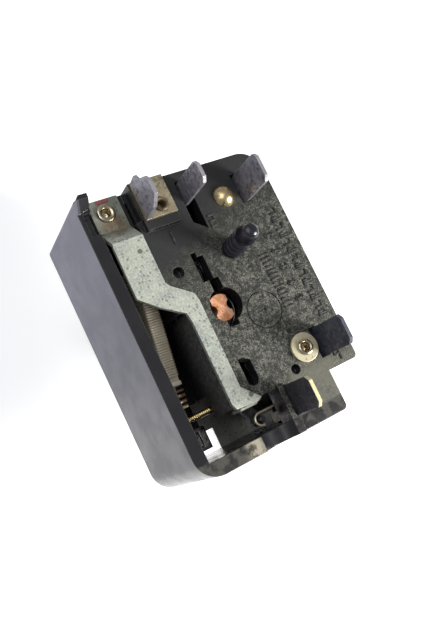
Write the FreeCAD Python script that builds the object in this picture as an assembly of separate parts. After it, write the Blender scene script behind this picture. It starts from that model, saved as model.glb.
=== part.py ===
import FreeCAD, Part
import math
import os

# Heat control switch for a range surface unit, seen with its terminals up (+Z) and its knob shaft down (-Z).
# Pieces are drawn from the housing's left, near, front corner: X across, Y along, Z from the panel face.
# save() moves every piece so that the shaft axis on the panel face is the origin.

V = FreeCAD.Vector

# --- overall sizes -------------------------------------------------------------------------------
CASE_W = 43.6            # housing across, X
CASE_L = 58.6            # housing along, Y
DECK_Z = 25.7            # terminal face above the panel face
RIM = 0.9                # height of the left and near rims above the terminal face
RIM_Z = DECK_Z + RIM
DECK_T = 3.0             # thickness of the terminal face
UNDER_Z = DECK_Z - DECK_T
WALL_LEFT = 2.8
WALL_NEAR = 3.1
WALL = 2.8               # right wall
WALL_FAR = 2.0
PARTITION = 1.2
FLOOR_T = 1.8            # moulded floor of the trough
CORNER_R = 5.0
EDGE_R = 1.0             # the lesser upright edges
PLATE_T = 1.2            # steel front plate
PLATE_LAND = 1.4         # width of wall left outside the plate
FLOOR_Z = PLATE_T + FLOOR_T
FIT = 0.15               # clearance round a piece that stays put
RUN = 0.05               # radial clearance of a running shaft or pin
GAP = 0.3                # clearance between pieces that move past each other
OVER = 1.0               # how far a cutter runs past the face that it opens
BITE = 0.01              # overlap of two cutters or solids that must join
HIGH = 60.0              # above everything
STEEL_T = 0.8            # stamped straps and brackets

# --- shaft and cam -------------------------------------------------------------------------------
SHAFT_X = 20.9
SHAFT_Y = 29.3
SHAFT_R = 3.175
SHAFT_FRONT = 24.0       # length in front of the panel face
SHAFT_CHAMFER = 0.5
KNOB_FLAT = 9.0          # length of the knob's D flat
KNOB_FLAT_AT = 2.5       # flat, from the axis
REAR_R = 2.9
REAR_FLAT_AT = 1.9       # drive flats, from the axis
REAR_END_Z = DECK_Z - 2.2
FLUTE_R = 1.1
FLUTE_LEN = 8.0
FLUTE_OUT = 0.4          # flute's centre outside the drive flat
NECK_R = 2.4             # bottom of the clip's groove
JOURNAL_R = 3.5          # the shaft where it turns in the bushing
BUSH_R = 4.8
BUSH_FLANGE_R = 6.0
BUSH_FRONT = 4.0
BUSH_BACK_Z = 2.0
CAM_Z = 2.3
CAM_HUB_R = 4.4
CAM_HUB_H = 4.7
CAM_LIFT = 0.6           # cam's disc above the foot of its hub
CAM_T = 2.6
CAM_HIGH = 6.5
CAM_LOW = 4.7
CAM_TURN = 300           # degrees of steady fall
CAM_STEP = 6             # degrees between the drawn points of the cam
CLIP_T = 0.8
CLIP_R = 4.9
CLIP_MOUTH = 3.4
CLIP_Z = CAM_Z + CAM_HUB_H + GAP
WASHER_T = 0.8
WASHER_R = 5.2
WASHER_Z = CLIP_Z + CLIP_T + RUN
SPRING_R = 4.2
SPRING_WIRE = 0.7
SPRING_TURNS = 6.0
PUSH = 2.5               # push-to-turn travel

# --- terminals -----------------------------------------------------------------------------------
TAB_W = 6.35
TAB_T = 0.8
TAB_TOP_Z = DECK_Z + 10.1
TAB_CHAMFER = 1.0
TAB_FOOT_Z = DECK_Z - 6.7
TAB2_W = 4.8
TAB2 = (23.0, CASE_L - WALL_FAR - 0.2 - TAB2_W)      # near left corner of each blade
TAB3 = (CASE_W - 7.5, CASE_L - 10.6)
TAB4 = (CASE_W - 6.8, 11.5)
TAB5 = (24.1, 3.5)
BLOCK_X = (11.9, 19.6)   # raised block under terminal 1
BLOCK_Y = CASE_L - 10.3
BLOCK_H = 1.3
TAB1_X = (12.2, 19.3)
TAB1_Y = (CASE_L - 8.4, CASE_L - 0.2)
TAB1_SIDE = ((0.0, 0.0), (8.0, 0.0), (8.4, 3.6), (7.2, 4.4), (6.3, 7.4), (4.8, 8.6), (2.1, 8.6), (0.5, 5.6))
RIVET1 = (16.4, CASE_L - 6.2)
RIVET1_R = 1.1
RIVET1_BORE_R = 0.7
RIVET1_FLANGE_R = 1.6
DOME3 = (TAB3[0] - 4.6, TAB3[1] + 2.5)
DOME3_R = 2.45
DOME3_H = 1.6
DOME3_SHANK_R = 1.0
EYE4 = (TAB4[0] - 4.2, TAB4[1] + 3.4)
EYE_R = 1.2              # tube of the two large eyelets
EYE4_BORE_R = 0.75
EYE4_FLANGE_R = 1.75
WASHER4_R = 3.1
WASHER4_T = 0.6
TAIL_H = 0.5             # flared tail of an eyelet
TAIL_OUT = 0.6
RUN2_X = (15.9, 18.4)    # terminal 2's run to the contact arm
RUN5_LEN = 7.0           # terminal 5's foot
RUN5_W = 2.1
RUN5_Z = TAB_FOOT_Z - 3.0

# --- openings in the terminal face ---------------------------------------------------------------
SHAFT_HOLE_R = 3.6
STRAIGHT_SLOTS = ((18.4, 20.9, 35.1, 40.4), (18.4, 19.6, 40.3, 41.4), (19.7, 22.0, 32.0, 35.2),
                  (19.4, 21.9, 24.7, 27.2))              # low X, high X, low Y, high Y
NEAR_SLOT = ((17.7, 13.0), (18.5, 12.3), (19.6, 12.4), (20.3, 13.4), (20.3, 17.4), (18.8, 18.3), (17.7, 18.3))
TAB2_SLOT = ((-0.7, -4.2), (2.0, -6.4))                  # near corners, from the corner of blade 2
TAB3_SLOT = 1.1          # opening on the blade's left side
TAB4_SLOT = 1.2
BLIND_HOLES = ((14.4, 38.7, 1.2), (28.7, 11.7, 1.05))    # X, Y, radius
BLIND_DEPTH = 2.0
DIAL = (28.3, 25.3)      # engraved circle with a dimple in its middle
DIAL_R = 4.05
DIAL_LINE = 0.25
DIMPLE_R = 0.4
DIMPLE_DEPTH = 0.3

# --- trough, strap and bimetal -------------------------------------------------------------------
TROUGH_X_WIDE = 12.4     # right side of the trough below the jog
TROUGH_X_NARROW = 10.5   # right side above the jog
JOG_Y = 31.0
SEAT_X = BLOCK_X[0]
SEAT_Y = CASE_L - 7.6    # near side of the seat under the strap's pad
SEAT_TOP = DECK_Z - 3.6
SEAT_NOTCH_Z = DECK_Z - 1.3                              # where the left wall is lowered beside the pad
POCKET_X = 22.6          # right side of the near pocket
POCKET_Y = 10.0          # far side of the near pocket
ARM_PASS = 4.5           # opening from the pocket to the chamber, along Y
WINDOW_X = (8.6, 17.0)   # opening right through the front
WINDOW_Y = 7.9
LOBE_X = 23.8            # right side of the lobe over the hook spring
LOBE_LAP = 0.5
LOBE_DEPTH = DECK_T + 0.8
RIM_END_X = 24.4         # right end of the near rim
SCOOP_X = 18.6
SCOOP_R = 4.6
SCOOP_DEPTH = 2.3
POST_TOP_Z = RIM_Z + 3.0 # corner post at the far left corner
STRAP_T = 0.9
STRAP_END_Y = SEAT_Y - 3.4
STRAP_X = (3.9, 10.6)    # the strap where it steps down to its seat
STRAP_PLAN = ((3.8, STRAP_END_Y), (3.7, 36.5), (7.3, 33.4), (11.8, 30.5), (12.1, 28.6), (12.1, 10.9), (12.6, 9.7),
              (17.6, 9.4), (18.6, 9.9), (15.3, 13.3), (15.5, 32.0), (15.2, 33.6), (11.2, 36.6), (10.5, 37.6),
              (10.5, STRAP_END_Y))
LIP_X = (13.4, 17.4)     # strap's near lip, turned down into the pocket
LIP_Y = (9.0, 9.7)
LIP_Z = DECK_Z - 3.3
EYE_PAD = (6.9, CASE_L - 3.1)
EYE_PAD_BORE_R = 0.95
EYE_PAD_DEPTH = 5.9
BRACKET_X = (4.2, 10.1)  # bimetal's bracket under the pad
BRACKET_DROP_X = 9.4
BRACKET_NECK_X = 7.6
BRACKET_Y = SEAT_Y - 4.2
BRACKET_LOW_Z = FLOOR_Z + 5.0
SCREW_Y = 11.8
SCREW_Z = DECK_Z - 12.7
SCREW_R = 0.8
SCREW_X = 4.1
SCREW_HEAD_R = 1.3
SCREW_HEAD_T = 0.8
SCREW_SLOT = 0.4
SCREW_POINT_R = 0.3
BIMETAL_ROOT = (8.9, SEAT_Y - 0.6)
BIMETAL_TIP = (5.9, 11.0)
BIMETAL_T = 0.8
BIMETAL_STEP = 4.2       # length at the root that stands lower, under the bracket
ROOT_Z = (FLOOR_Z + 4.0, SEAT_TOP - 1.1)
STRIP_LOW_Z = (ROOT_Z[0], SCREW_Z - 1.7)                 # lower edge, root and tip
STRIP_HIGH_Z = (SEAT_TOP + 1.2, SCREW_Z + 2.4)           # upper edge, past the step and at the tip
SLEEVE_SPAN = (6.5, 31.5)
SLEEVE_T = 0.9
SLEEVE_PLAY = 0.02
COIL_T = 0.35
COIL_PITCH = 0.95
COIL_SHARE = 0.7         # share of the pitch that the ribbon covers
COIL_END = 0.7           # bare sleeve at each end
STOP_X = (4.0, 8.4)
STOP_Y = (4.6, 9.6)
STOP_SHELF_X = 11.6
STOP_SHELF_Z = SCREW_Z - 2.6
STOP_CURL = 2.2

# --- moving contacts -----------------------------------------------------------------------------
ARM_X = 15.2             # left face of the contact arm
ARM_T = 0.4
ARM_Z = (SCREW_Z - 2.5, SCREW_Z + 2.5)
ARM_Y = (11.4, 38.4)
ARM_NICK_Y = (17.5, 33.0)
ARM_NICK_EDGE = 1.6
ARM_HOLD = 4.2           # length of the arm that terminal 2 holds
CONTACT_R = 1.5
CONTACT_T = 0.8
CONTACT_Y = 15.0
LEVER_PIVOT = (30.5, 44.5)
LEVER_ELBOW = (28.6, 20.5)
LEVER_END = (23.6, CONTACT_Y)
LEVER_Z = (3.2, 5.4)
LEVER_HALF = 1.3
LEVER_BOSS_H = 1.4
NOSE_R = 1.6
FINGER_T = 1.6
FINGER_HALF = 2.0
PIN_R = 1.3
PIN_HEAD = 0.8
CYCLE_X = 20.5           # left face of the cycling contact at rest
LINE_PIVOT = (16.2, 13.2)
LINE_ELBOW = (18.6, 15.6)
LINE_END = (18.6, 19.2)
LINE_Z = (DECK_Z - 8.1, DECK_Z - 7.0)
LINE_HALF = 1.2
LINE_BOSS_R = 2.0
LINE_PIN_R = 1.0
LINE_PIN_HEAD_R = 1.5
LINE_PIN_HEAD_T = 0.6
LINE_STRAP_X = (14.4, 16.0)
LINE_STRAP_Y = (16.0, 21.0)
LINE_STRAP_Z = UNDER_Z - 0.9
LINE_PAD_X = 18.4
LINE_PAD_HALF = 2.2
LINE_CONTACT_Y = 18.5
FIXED_CONTACT_R = 1.1
FIXED_CONTACT_T = 0.7
LINE_CONTACT_X = 16.7
LINE_CONTACT_R = 0.9
LINE_CONTACT_T = 0.7
HOOK_Z = DECK_Z - 5.7
HOOK_X = 19.6
HOOK_Y = 5.7
HOOK_R = 1.3
HOOK_END = 0.3
STUD_R = 0.6
WIRE_R = 0.25
HOOK_COIL_X = 26.0
HOOK_COIL_LEN = 3.6
HOOK_COIL_R = 1.15
HOOK_COIL_PITCH = 0.6
HOOK_LOOP_R = 1.3
ANCHOR_X = HOOK_COIL_X + HOOK_COIL_LEN + 1.6
ANCHOR_R = 0.9
ANCHOR_LOW_Z = HOOK_Z - 1.4
ANCHOR_HEAD_T = 0.5
ANCHOR_HEAD_OUT = 0.7
PIN_DEPTH = 1.5          # how far a hanging pin is pressed into the terminal face

# --- front plate, plug and marks -----------------------------------------------------------------
NOTCH_X = CASE_W - 7.8   # corner left open for wiring
NOTCH_Y = 8.5
PLATE_RIVETS = ((7.2, CASE_L - 4.0, "seat"), (CASE_W - 5.6, CASE_L - 17.6, "right"), (CASE_W - 5.6, 20.5, "right"),
                (28.5, 5.4, "near"))                     # X, Y, the wall that its boss grows from
RIVET_R = 1.2
RIVET_HEAD_R = 2.0
RIVET_HEAD_H = 0.8
RIVET_DEPTH = 9.0
BOSS_R = 2.6
BOSS_H = TAB_FOOT_Z - 5.0
PANEL_SCREW_SPAN = 25.4
PANEL_TAP_R = 1.4
COLLAR_T = 0.9           # wall of the collar round a tapped hole
COLLAR_H = 1.4
PLUG = (27.4, 39.4)
PLUG_STEM_R = 1.5
PLUG_SIDE = ((0.0, 0.0), (2.1, 0.0), (2.1, 1.2), (1.85, 1.5), (2.15, 1.8), (2.15, 3.0), (1.85, 3.3), (2.1, 3.6),
             (2.1, 5.0), (1.8, 5.4), (1.8, 6.4), (2.3, 7.0), (2.3, 8.4), (1.9, 9.0), (1.9, 10.2), (1.3, 11.0),
             (0.0, 11.0))                                # radius and height above the terminal face
MARK_H = 2.4             # numerals beside the terminals
MARK_RISE = 0.2

ORIGIN = V(-SHAFT_X, -SHAFT_Y, 0)


# --- small helpers -------------------------------------------------------------------------------
def box(x0, x1, y0, y1, z0, z1):
    return Part.makeBox(x1 - x0, y1 - y0, z1 - z0, V(x0, y0, z0))


def rod(x, y, z0, z1, r):
    return Part.makeCylinder(r, z1 - z0, V(x, y, z0))


def rod_x(x0, x1, y, z, r):
    return Part.makeCylinder(r, x1 - x0, V(x0, y, z), V(1, 0, 0))


def prism(points, z0, z1):
    corners = [V(x, y, z0) for x, y in points]
    face = Part.Face(Part.makePolygon(corners + corners[:1]))
    return face.extrude(V(0, 0, z1 - z0))


def prism_x(points, x0, x1):
    corners = [V(x0, y, z) for y, z in points]
    face = Part.Face(Part.makePolygon(corners + corners[:1]))
    return face.extrude(V(x1 - x0, 0, 0))


def upright(shape):
    """Edges that run along Z."""
    found = []
    for edge in shape.Edges:
        a = edge.Vertexes[0].Point
        b = edge.Vertexes[-1].Point
        if abs(a.x - b.x) < 1e-6 and abs(a.y - b.y) < 1e-6 and abs(a.z - b.z) > 1e-6:
            found.append(edge)
    return found


def upright_at(shape, places, near=0.01):
    """Upright edges that stand at one of the places."""
    return [e for e in upright(shape)
            if any(math.hypot(e.Vertexes[0].X - x, e.Vertexes[0].Y - y) < near for x, y in places)]


def ring(x, y, z0, z1, outer, inner):
    return rod(x, y, z0, z1, outer).cut(rod(x, y, z0 - 1, z1 + 1, inner))


def bar(points, half, z0, z1):
    """Flat bar with round ends that follows points."""
    parts = [rod(x, y, z0, z1, half) for x, y in points]
    for (ax, ay), (bx, by) in zip(points, points[1:]):
        run = math.hypot(bx - ax, by - ay)
        nx = -(by - ay) / run * half
        ny = (bx - ax) / run * half
        parts.append(prism([(ax + nx, ay + ny), (bx + nx, by + ny), (bx - nx, by - ny), (ax - nx, ay - ny)], z0, z1))
    return parts[0].multiFuse(parts[1:]).removeSplitter()


def save(name, shape):
    moved = shape.copy()
    moved.translate(ORIGIN)
    moved.exportStep("parts/" + name + ".step")
    print(name, len(moved.Solids), round(moved.Volume, 2), moved.isValid())


# --- housing -------------------------------------------------------------------------------------
def housing_outline(z0, z1):
    """The case in plan, with one open corner and two rounded corners."""
    outline = [(0, 0), (NOTCH_X, 0), (NOTCH_X, NOTCH_Y), (CASE_W, NOTCH_Y), (CASE_W, CASE_L), (0, CASE_L)]
    shell = prism(outline, z0, z1)
    shell = shell.makeFillet(CORNER_R, upright_at(shell, [(0, 0), (CASE_W, CASE_L)]))
    return shell.makeFillet(EDGE_R, upright_at(shell, [(0, CASE_L), (NOTCH_X, 0), (CASE_W, NOTCH_Y)]))


def main_chamber():
    """Hollow under the terminal face that holds the cam and the contacts."""
    wide = TROUGH_X_WIDE + PARTITION
    narrow = max(TROUGH_X_NARROW + PARTITION, SEAT_X)
    right = CASE_W - WALL
    turn = NOTCH_Y + WALL
    low = box(wide, right, turn, JOG_Y, -OVER, UNDER_Z)
    high = box(narrow, right, JOG_Y - BITE, CASE_L - WALL_FAR, -OVER, UNDER_Z)
    near = box(wide, NOTCH_X - WALL, WALL_NEAR, turn + BITE, -OVER, UNDER_Z)
    return low.fuse(high).fuse(near)


def trough():
    """Open channel for the bimetal, and the near pocket that it runs into."""
    wide = box(WALL_LEFT, TROUGH_X_WIDE, WALL_NEAR, JOG_Y, FLOOR_Z, HIGH)
    narrow = box(WALL_LEFT, TROUGH_X_NARROW, JOG_Y - BITE, SEAT_Y, FLOOR_Z, HIGH)
    pocket = box(WALL_LEFT, POCKET_X, WALL_NEAR, POCKET_Y, FLOOR_Z, HIGH)
    return wide.fuse(narrow).fuse(pocket)


def window(z0, z1):
    """Opening right through the front in the near left corner."""
    return box(WINDOW_X[0], WINDOW_X[1], WALL_NEAR, WINDOW_Y, z0, z1)


def deck_hole(place, radius):
    """Cutter for a hole right through the terminal face and the raised block."""
    return rod(place[0], place[1], UNDER_Z - OVER, HIGH, radius)


def pin_hole(x, y, radius):
    """Cutter for a blind hole in the underside of the terminal face."""
    return rod(x, y, UNDER_Z - OVER, UNDER_Z + PIN_DEPTH, radius)


def tab_slot(place, left, right=TAB_T + FIT):
    """Cutter for the slot that a blade of full width stands in."""
    x, y = place
    return box(x - left, x + right, y - FIT, y + TAB_W + FIT, UNDER_Z - OVER, HIGH)


def tab2_slot():
    """Slot of blade 2, which runs on past it and ends on the slant."""
    x, y = TAB2
    (left, near_left), (right, near_right) = TAB2_SLOT
    far = y + TAB2_W + FIT
    corners = [(x + left, y + near_left), (x + right, y + near_right), (x + right, far), (x + left, far)]
    return prism(corners, UNDER_Z - OVER, HIGH)


def deck_openings():
    """Slots and holes in the terminal face, most of them right through it."""
    cuts = [box(x0, x1, y0, y1, UNDER_Z - OVER, HIGH) for x0, x1, y0, y1 in STRAIGHT_SLOTS]
    cuts += [rod(x, y, DECK_Z - BLIND_DEPTH, HIGH, radius) for x, y, radius in BLIND_HOLES]
    cuts += [prism(NEAR_SLOT, UNDER_Z - OVER, HIGH), tab2_slot()]
    cuts += [tab_slot(TAB3, TAB3_SLOT), tab_slot(TAB4, TAB4_SLOT), tab_slot(TAB5, FIT)]
    cuts += [deck_hole((SHAFT_X, SHAFT_Y), SHAFT_HOLE_R), deck_hole(PLUG, PLUG_STEM_R + FIT)]
    cuts += [deck_hole(DOME3, DOME3_SHANK_R + FIT), deck_hole(EYE4, EYE_R + FIT), deck_hole(RIVET1, RIVET1_R + FIT)]
    cuts.append(pin_hole(LINE_PIVOT[0], LINE_PIVOT[1], LINE_PIN_R))
    cuts.append(pin_hole(ANCHOR_X, HOOK_Y + HOOK_R, ANCHOR_R))
    cuts.append(ring(DIAL[0], DIAL[1], DECK_Z - DIAL_LINE, HIGH, DIAL_R, DIAL_R - DIAL_LINE))
    cuts.append(rod(DIAL[0], DIAL[1], DECK_Z - DIMPLE_DEPTH, HIGH, DIMPLE_R))
    return cuts


def seat_cuts():
    """Cutters for the strap's seat in the far left corner."""
    pad = box(WALL_LEFT, SEAT_X, SEAT_Y - BITE, CASE_L + OVER, SEAT_TOP, HIGH)
    bracket_z = SEAT_TOP - STEEL_T - RUN
    bracket = box(BRACKET_X[0] - FIT, BRACKET_X[1] + FIT, SEAT_Y - BITE, TAB1_Y[1] - FIT, bracket_z, HIGH)
    ramp = box(WALL_LEFT, STRAP_X[1] + GAP, STRAP_END_Y - GAP, SEAT_Y + BITE, SEAT_TOP - 1.0, HIGH)
    hole = rod(EYE_PAD[0], EYE_PAD[1], SEAT_TOP - EYE_PAD_DEPTH - FIT, HIGH, EYE_R + FIT)
    notch = box(1.0, WALL_LEFT + BITE, SEAT_Y - 0.2, SEAT_Y + 4.4, SEAT_NOTCH_Z, HIGH)
    return [pad, bracket, ramp, hole, notch]


def corner_post():
    """Post at the far left corner with its near side cut on the slant."""
    plan = [(0.0, CASE_L - 3.0), (2.4, CASE_L - 2.4), (2.4, CASE_L - 0.2), (0.6, CASE_L - 0.2), (0.0, CASE_L - 0.8)]
    post = prism(plan, RIM_Z - OVER, POST_TOP_Z)
    slant = [(CASE_L - 3.6, POST_TOP_Z + 0.1), (CASE_L - 1.0, POST_TOP_Z + 0.1), (CASE_L - 3.6, POST_TOP_Z - 2.6)]
    return post.cut(prism_x(slant, -OVER, WALL_LEFT + OVER))


def rivet_bosses():
    """Bosses inside the right and near walls that take the plate's rivets."""
    bosses = []
    for x, y, wall in PLATE_RIVETS:
        if wall == "right":
            bosses.append(box(x, CASE_W - WALL + 0.2, y - BOSS_R, y + BOSS_R, 0, BOSS_H))
        if wall == "near":
            bosses.append(box(x - BOSS_R, x + BOSS_R, WALL_NEAR - 0.2, y, 0, BOSS_H))
        if wall != "seat":
            bosses.append(rod(x, y, 0, BOSS_H, BOSS_R))
    return bosses


def make_housing():
    body = housing_outline(0, DECK_Z)
    right = CASE_W + OVER
    far = CASE_L + OVER
    rims = housing_outline(DECK_Z - LOBE_LAP, RIM_Z).cut(box(WALL_LEFT, right, WALL_NEAR, far, 0, HIGH))
    rims = rims.cut(box(RIM_END_X, right, -OVER, far, 0, HIGH))
    lobe = box(POCKET_X, LOBE_X, 0, POCKET_Y, DECK_Z - OVER, RIM_Z)
    block = box(BLOCK_X[0], BLOCK_X[1], BLOCK_Y, CASE_L, DECK_Z - OVER, DECK_Z + BLOCK_H)
    body = body.multiFuse([rims, lobe, block])
    body = body.cut(main_chamber()).cut(trough())
    body = body.cut(window(-OVER, FLOOR_Z + OVER))
    # the lobe hangs from the deck; below it the pocket and the chamber are one space
    body = body.fuse(box(POCKET_X, LOBE_X, WALL_NEAR, POCKET_Y + LOBE_LAP, DECK_Z - LOBE_DEPTH, RIM_Z))
    arm_pass = box(TROUGH_X_WIDE - OVER, POCKET_X, POCKET_Y - BITE, POCKET_Y + ARM_PASS, FLOOR_Z, ARM_Z[1] + OVER)
    body = body.cut(arm_pass)
    for cut in seat_cuts():
        body = body.cut(cut)
    body = body.fuse(corner_post())
    # near rim scooped out beside the lobe
    scoop_z = RIM_Z + SCOOP_R - SCOOP_DEPTH
    scoop = Part.makeCylinder(SCOOP_R, WALL_NEAR + 2 * OVER, V(SCOOP_X, -OVER, scoop_z), V(0, 1, 0))
    body = body.cut(scoop)
    for cut in deck_openings():
        body = body.cut(cut)
    for boss in rivet_bosses():
        body = body.fuse(boss)
    for x, y, _wall in PLATE_RIVETS:
        body = body.cut(rod(x, y, -OVER, RIVET_DEPTH, RIVET_R))
    cam_room = rod(SHAFT_X, SHAFT_Y, PLATE_T, CAM_Z + CAM_LIFT + CAM_T + GAP, CAM_HIGH + GAP)
    body = body.cut(cam_room)
    body = body.cut(plate_outline(-OVER, PLATE_T, FIT))
    return body.removeSplitter()


# --- front plate and its fixings -----------------------------------------------------------------
def plate_outline(z0, z1, grow):
    """Plate in plan; grow is the clearance added all round for the seat in the housing."""
    a = PLATE_LAND - grow
    outline = [(a, a), (NOTCH_X - a, a), (NOTCH_X - a, NOTCH_Y + a), (CASE_W - a, NOTCH_Y + a),
               (CASE_W - a, CASE_L - a), (a, CASE_L - a)]
    plate = prism(outline, z0, z1)
    return plate.makeFillet(CORNER_R - a, upright_at(plate, [(a, a), (CASE_W - a, CASE_L - a)]))


def make_front_plate():
    plate = plate_outline(0, PLATE_T, 0)
    for side in (-1, 1):
        y = SHAFT_Y + side * PANEL_SCREW_SPAN / 2
        plate = plate.fuse(rod(SHAFT_X, y, 0, PLATE_T + COLLAR_H, PANEL_TAP_R + COLLAR_T))
        plate = plate.cut(rod(SHAFT_X, y, -OVER, HIGH, PANEL_TAP_R))
    plate = plate.cut(rod(SHAFT_X, SHAFT_Y, -OVER, HIGH, BUSH_R + RUN))
    plate = plate.cut(rod(LEVER_PIVOT[0], LEVER_PIVOT[1], -OVER, HIGH, PIN_R))
    plate = plate.cut(window(-OVER, HIGH))
    for x, y, _wall in PLATE_RIVETS:
        plate = plate.cut(rod(x, y, -OVER, HIGH, RIVET_R + RUN))
        plate = plate.cut(rivet_head(x, y, RUN))
    return plate


def rivet_head(x, y, grow):
    """Countersunk head, flush with the panel face; grow is the clearance round it."""
    return Part.makeCone(RIVET_HEAD_R + grow, RIVET_R + grow, RIVET_HEAD_H, V(x, y, 0))


def make_plate_rivets():
    rivets = []
    for x, y, _wall in PLATE_RIVETS:
        rivet = rivet_head(x, y, 0).fuse(rod(x, y, 0, RIVET_DEPTH - FIT, RIVET_R))
        rivets.append(rivet.removeSplitter())
    return Part.makeCompound(rivets)


def make_bushing():
    """Barrel through the front plate with a flange behind it."""
    body = rod(SHAFT_X, SHAFT_Y, -BUSH_FRONT, BUSH_BACK_Z, BUSH_R)
    flange = rod(SHAFT_X, SHAFT_Y, PLATE_T, BUSH_BACK_Z, BUSH_FLANGE_R)
    bore = rod(SHAFT_X, SHAFT_Y, -BUSH_FRONT - OVER, BUSH_BACK_Z + OVER, JOURNAL_R + RUN)
    return body.fuse(flange).cut(bore).removeSplitter()


# --- shaft train ---------------------------------------------------------------------------------
def drive_section(z0, z1, grow):
    """Round section with two flats, the flats facing -X and +X."""
    r = REAR_R + grow
    f = REAR_FLAT_AT + grow
    return rod(SHAFT_X, SHAFT_Y, z0, z1, r).common(box(SHAFT_X - f, SHAFT_X + f, 0, CASE_L, z0, z1))


def make_shaft():
    shoulder = CAM_Z - PUSH - GAP
    journal_low = -BUSH_FRONT - 2 * GAP
    front = rod(SHAFT_X, SHAFT_Y, -SHAFT_FRONT, journal_low, SHAFT_R)
    edges = [e for e in front.Edges if abs(e.CenterOfMass.z + SHAFT_FRONT) < 1e-6]
    front = front.makeChamfer(SHAFT_CHAMFER, edges)
    flat_y = SHAFT_Y + KNOB_FLAT_AT
    knob_flat = box(SHAFT_X - SHAFT_R, SHAFT_X + SHAFT_R, flat_y, flat_y + SHAFT_R, -HIGH, -SHAFT_FRONT + KNOB_FLAT)
    front = front.cut(knob_flat)
    rear = drive_section(shoulder - 0.5, REAR_END_Z, 0)
    for side in (-1, 1):
        flute_x = SHAFT_X + side * (REAR_FLAT_AT + FLUTE_OUT)
        rear = rear.cut(rod(flute_x, SHAFT_Y, REAR_END_Z - FLUTE_LEN, HIGH, FLUTE_R))
    groove = ring(SHAFT_X, SHAFT_Y, CLIP_Z - RUN, CLIP_Z + CLIP_T + RUN, REAR_R + OVER, NECK_R)
    journal = rod(SHAFT_X, SHAFT_Y, journal_low, shoulder, JOURNAL_R)
    return front.multiFuse([journal, rear]).removeSplitter().cut(groove)


def make_clip():
    clip = ring(SHAFT_X, SHAFT_Y, CLIP_Z, CLIP_Z + CLIP_T, CLIP_R, NECK_R + RUN)
    half = CLIP_MOUTH / 2
    near = SHAFT_Y - CLIP_R - OVER
    mouth = box(SHAFT_X - half, SHAFT_X + half, near, SHAFT_Y, CLIP_Z - OVER, CLIP_Z + CLIP_T + OVER)
    return clip.cut(mouth)


def make_thrust_washer():
    return ring(SHAFT_X, SHAFT_Y, WASHER_Z, WASHER_Z + WASHER_T, WASHER_R, REAR_R + RUN)


def helix_wire(pitch, height, radius, wire, base):
    """Coil of round wire standing on base along Z."""
    path = Part.makeHelix(pitch, height, radius)
    section = Part.Wire([Part.makeCircle(wire, V(radius, 0, 0), V(0, 1, pitch / (2 * math.pi * radius)))])
    coil = Part.Wire(path).makePipeShell([section], True, True)
    coil.translate(base)
    return coil


def make_shaft_spring():
    low = WASHER_Z + WASHER_T + SPRING_WIRE / 2 + RUN
    high = UNDER_Z - SPRING_WIRE / 2 - RUN
    pitch = (high - low) / SPRING_TURNS
    return helix_wire(pitch, high - low, SPRING_R, SPRING_WIRE / 2, V(SHAFT_X, SHAFT_Y, low))


def cam_radius(degrees):
    """Falls over the short rest of the turn, then climbs steadily over the long part."""
    climb = 360.0 - CAM_TURN
    if degrees < climb:
        return CAM_HIGH + (CAM_LOW - CAM_HIGH) * degrees / climb
    return CAM_LOW + (CAM_HIGH - CAM_LOW) * (degrees - climb) / CAM_TURN


def make_cam():
    points = []
    for step in range(0, 360, CAM_STEP):
        r = cam_radius(step)
        a = math.radians(step)
        points.append((SHAFT_X + r * math.cos(a), SHAFT_Y + r * math.sin(a)))
    disc = prism(points, CAM_Z + CAM_LIFT, CAM_Z + CAM_LIFT + CAM_T)
    hub = rod(SHAFT_X, SHAFT_Y, CAM_Z, CAM_Z + CAM_HUB_H, CAM_HUB_R)
    bore = drive_section(CAM_Z - OVER, CAM_Z + CAM_HUB_H + OVER, RUN)
    return disc.fuse(hub).removeSplitter().cut(bore)


# --- cam follower --------------------------------------------------------------------------------
def make_follower():
    x, y = LEVER_PIVOT
    z0, z1 = LEVER_Z
    nose_x = SHAFT_X + CAM_HIGH + GAP + NOSE_R
    lever = bar([(x, y), (nose_x + 1.0, SHAFT_Y), LEVER_ELBOW, LEVER_END], LEVER_HALF, z0, z1)
    nose = rod(nose_x, SHAFT_Y, z0, z1, NOSE_R)
    boss = rod(x, y, z0, z1 + LEVER_BOSS_H, PIN_R + LEVER_BOSS_H)
    finger_x = CYCLE_X + CONTACT_T
    finger = box(finger_x, finger_x + FINGER_T, CONTACT_Y - FINGER_HALF, CONTACT_Y + FINGER_HALF, z0, ARM_Z[1])
    web = box(finger_x, LEVER_END[0], CONTACT_Y - LEVER_HALF, CONTACT_Y + LEVER_HALF, z0, z1)
    lever = lever.multiFuse([nose, boss, finger, web]).removeSplitter()
    return lever.cut(rod(x, y, 0, HIGH, PIN_R + RUN))


def make_cycling_contact():
    return rod_x(CYCLE_X, CYCLE_X + CONTACT_T, CONTACT_Y, sum(ARM_Z) / 2, CONTACT_R)


def make_follower_pin():
    x, y = LEVER_PIVOT
    neck = LEVER_Z[1] + LEVER_BOSS_H + GAP
    return rod(x, y, 0, neck, PIN_R).fuse(rod(x, y, neck, neck + PIN_HEAD, PIN_R + PIN_HEAD))


# --- terminals -----------------------------------------------------------------------------------
def tab_blade(x, y, low, width=TAB_W):
    """Upright blade with chamfered top corners."""
    c = TAB_CHAMFER
    side = [(y, low), (y + width, low), (y + width, TAB_TOP_Z - c), (y + width - c, TAB_TOP_Z), (y + c, TAB_TOP_Z),
            (y, TAB_TOP_Z - c)]
    return prism_x(side, x, x + TAB_T)


def foot(x0, x1, y0, y1, z=TAB_FOOT_Z):
    """Flat run of a terminal under the terminal face."""
    return box(x0, x1, y0, y1, z, z + TAB_T)


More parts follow.
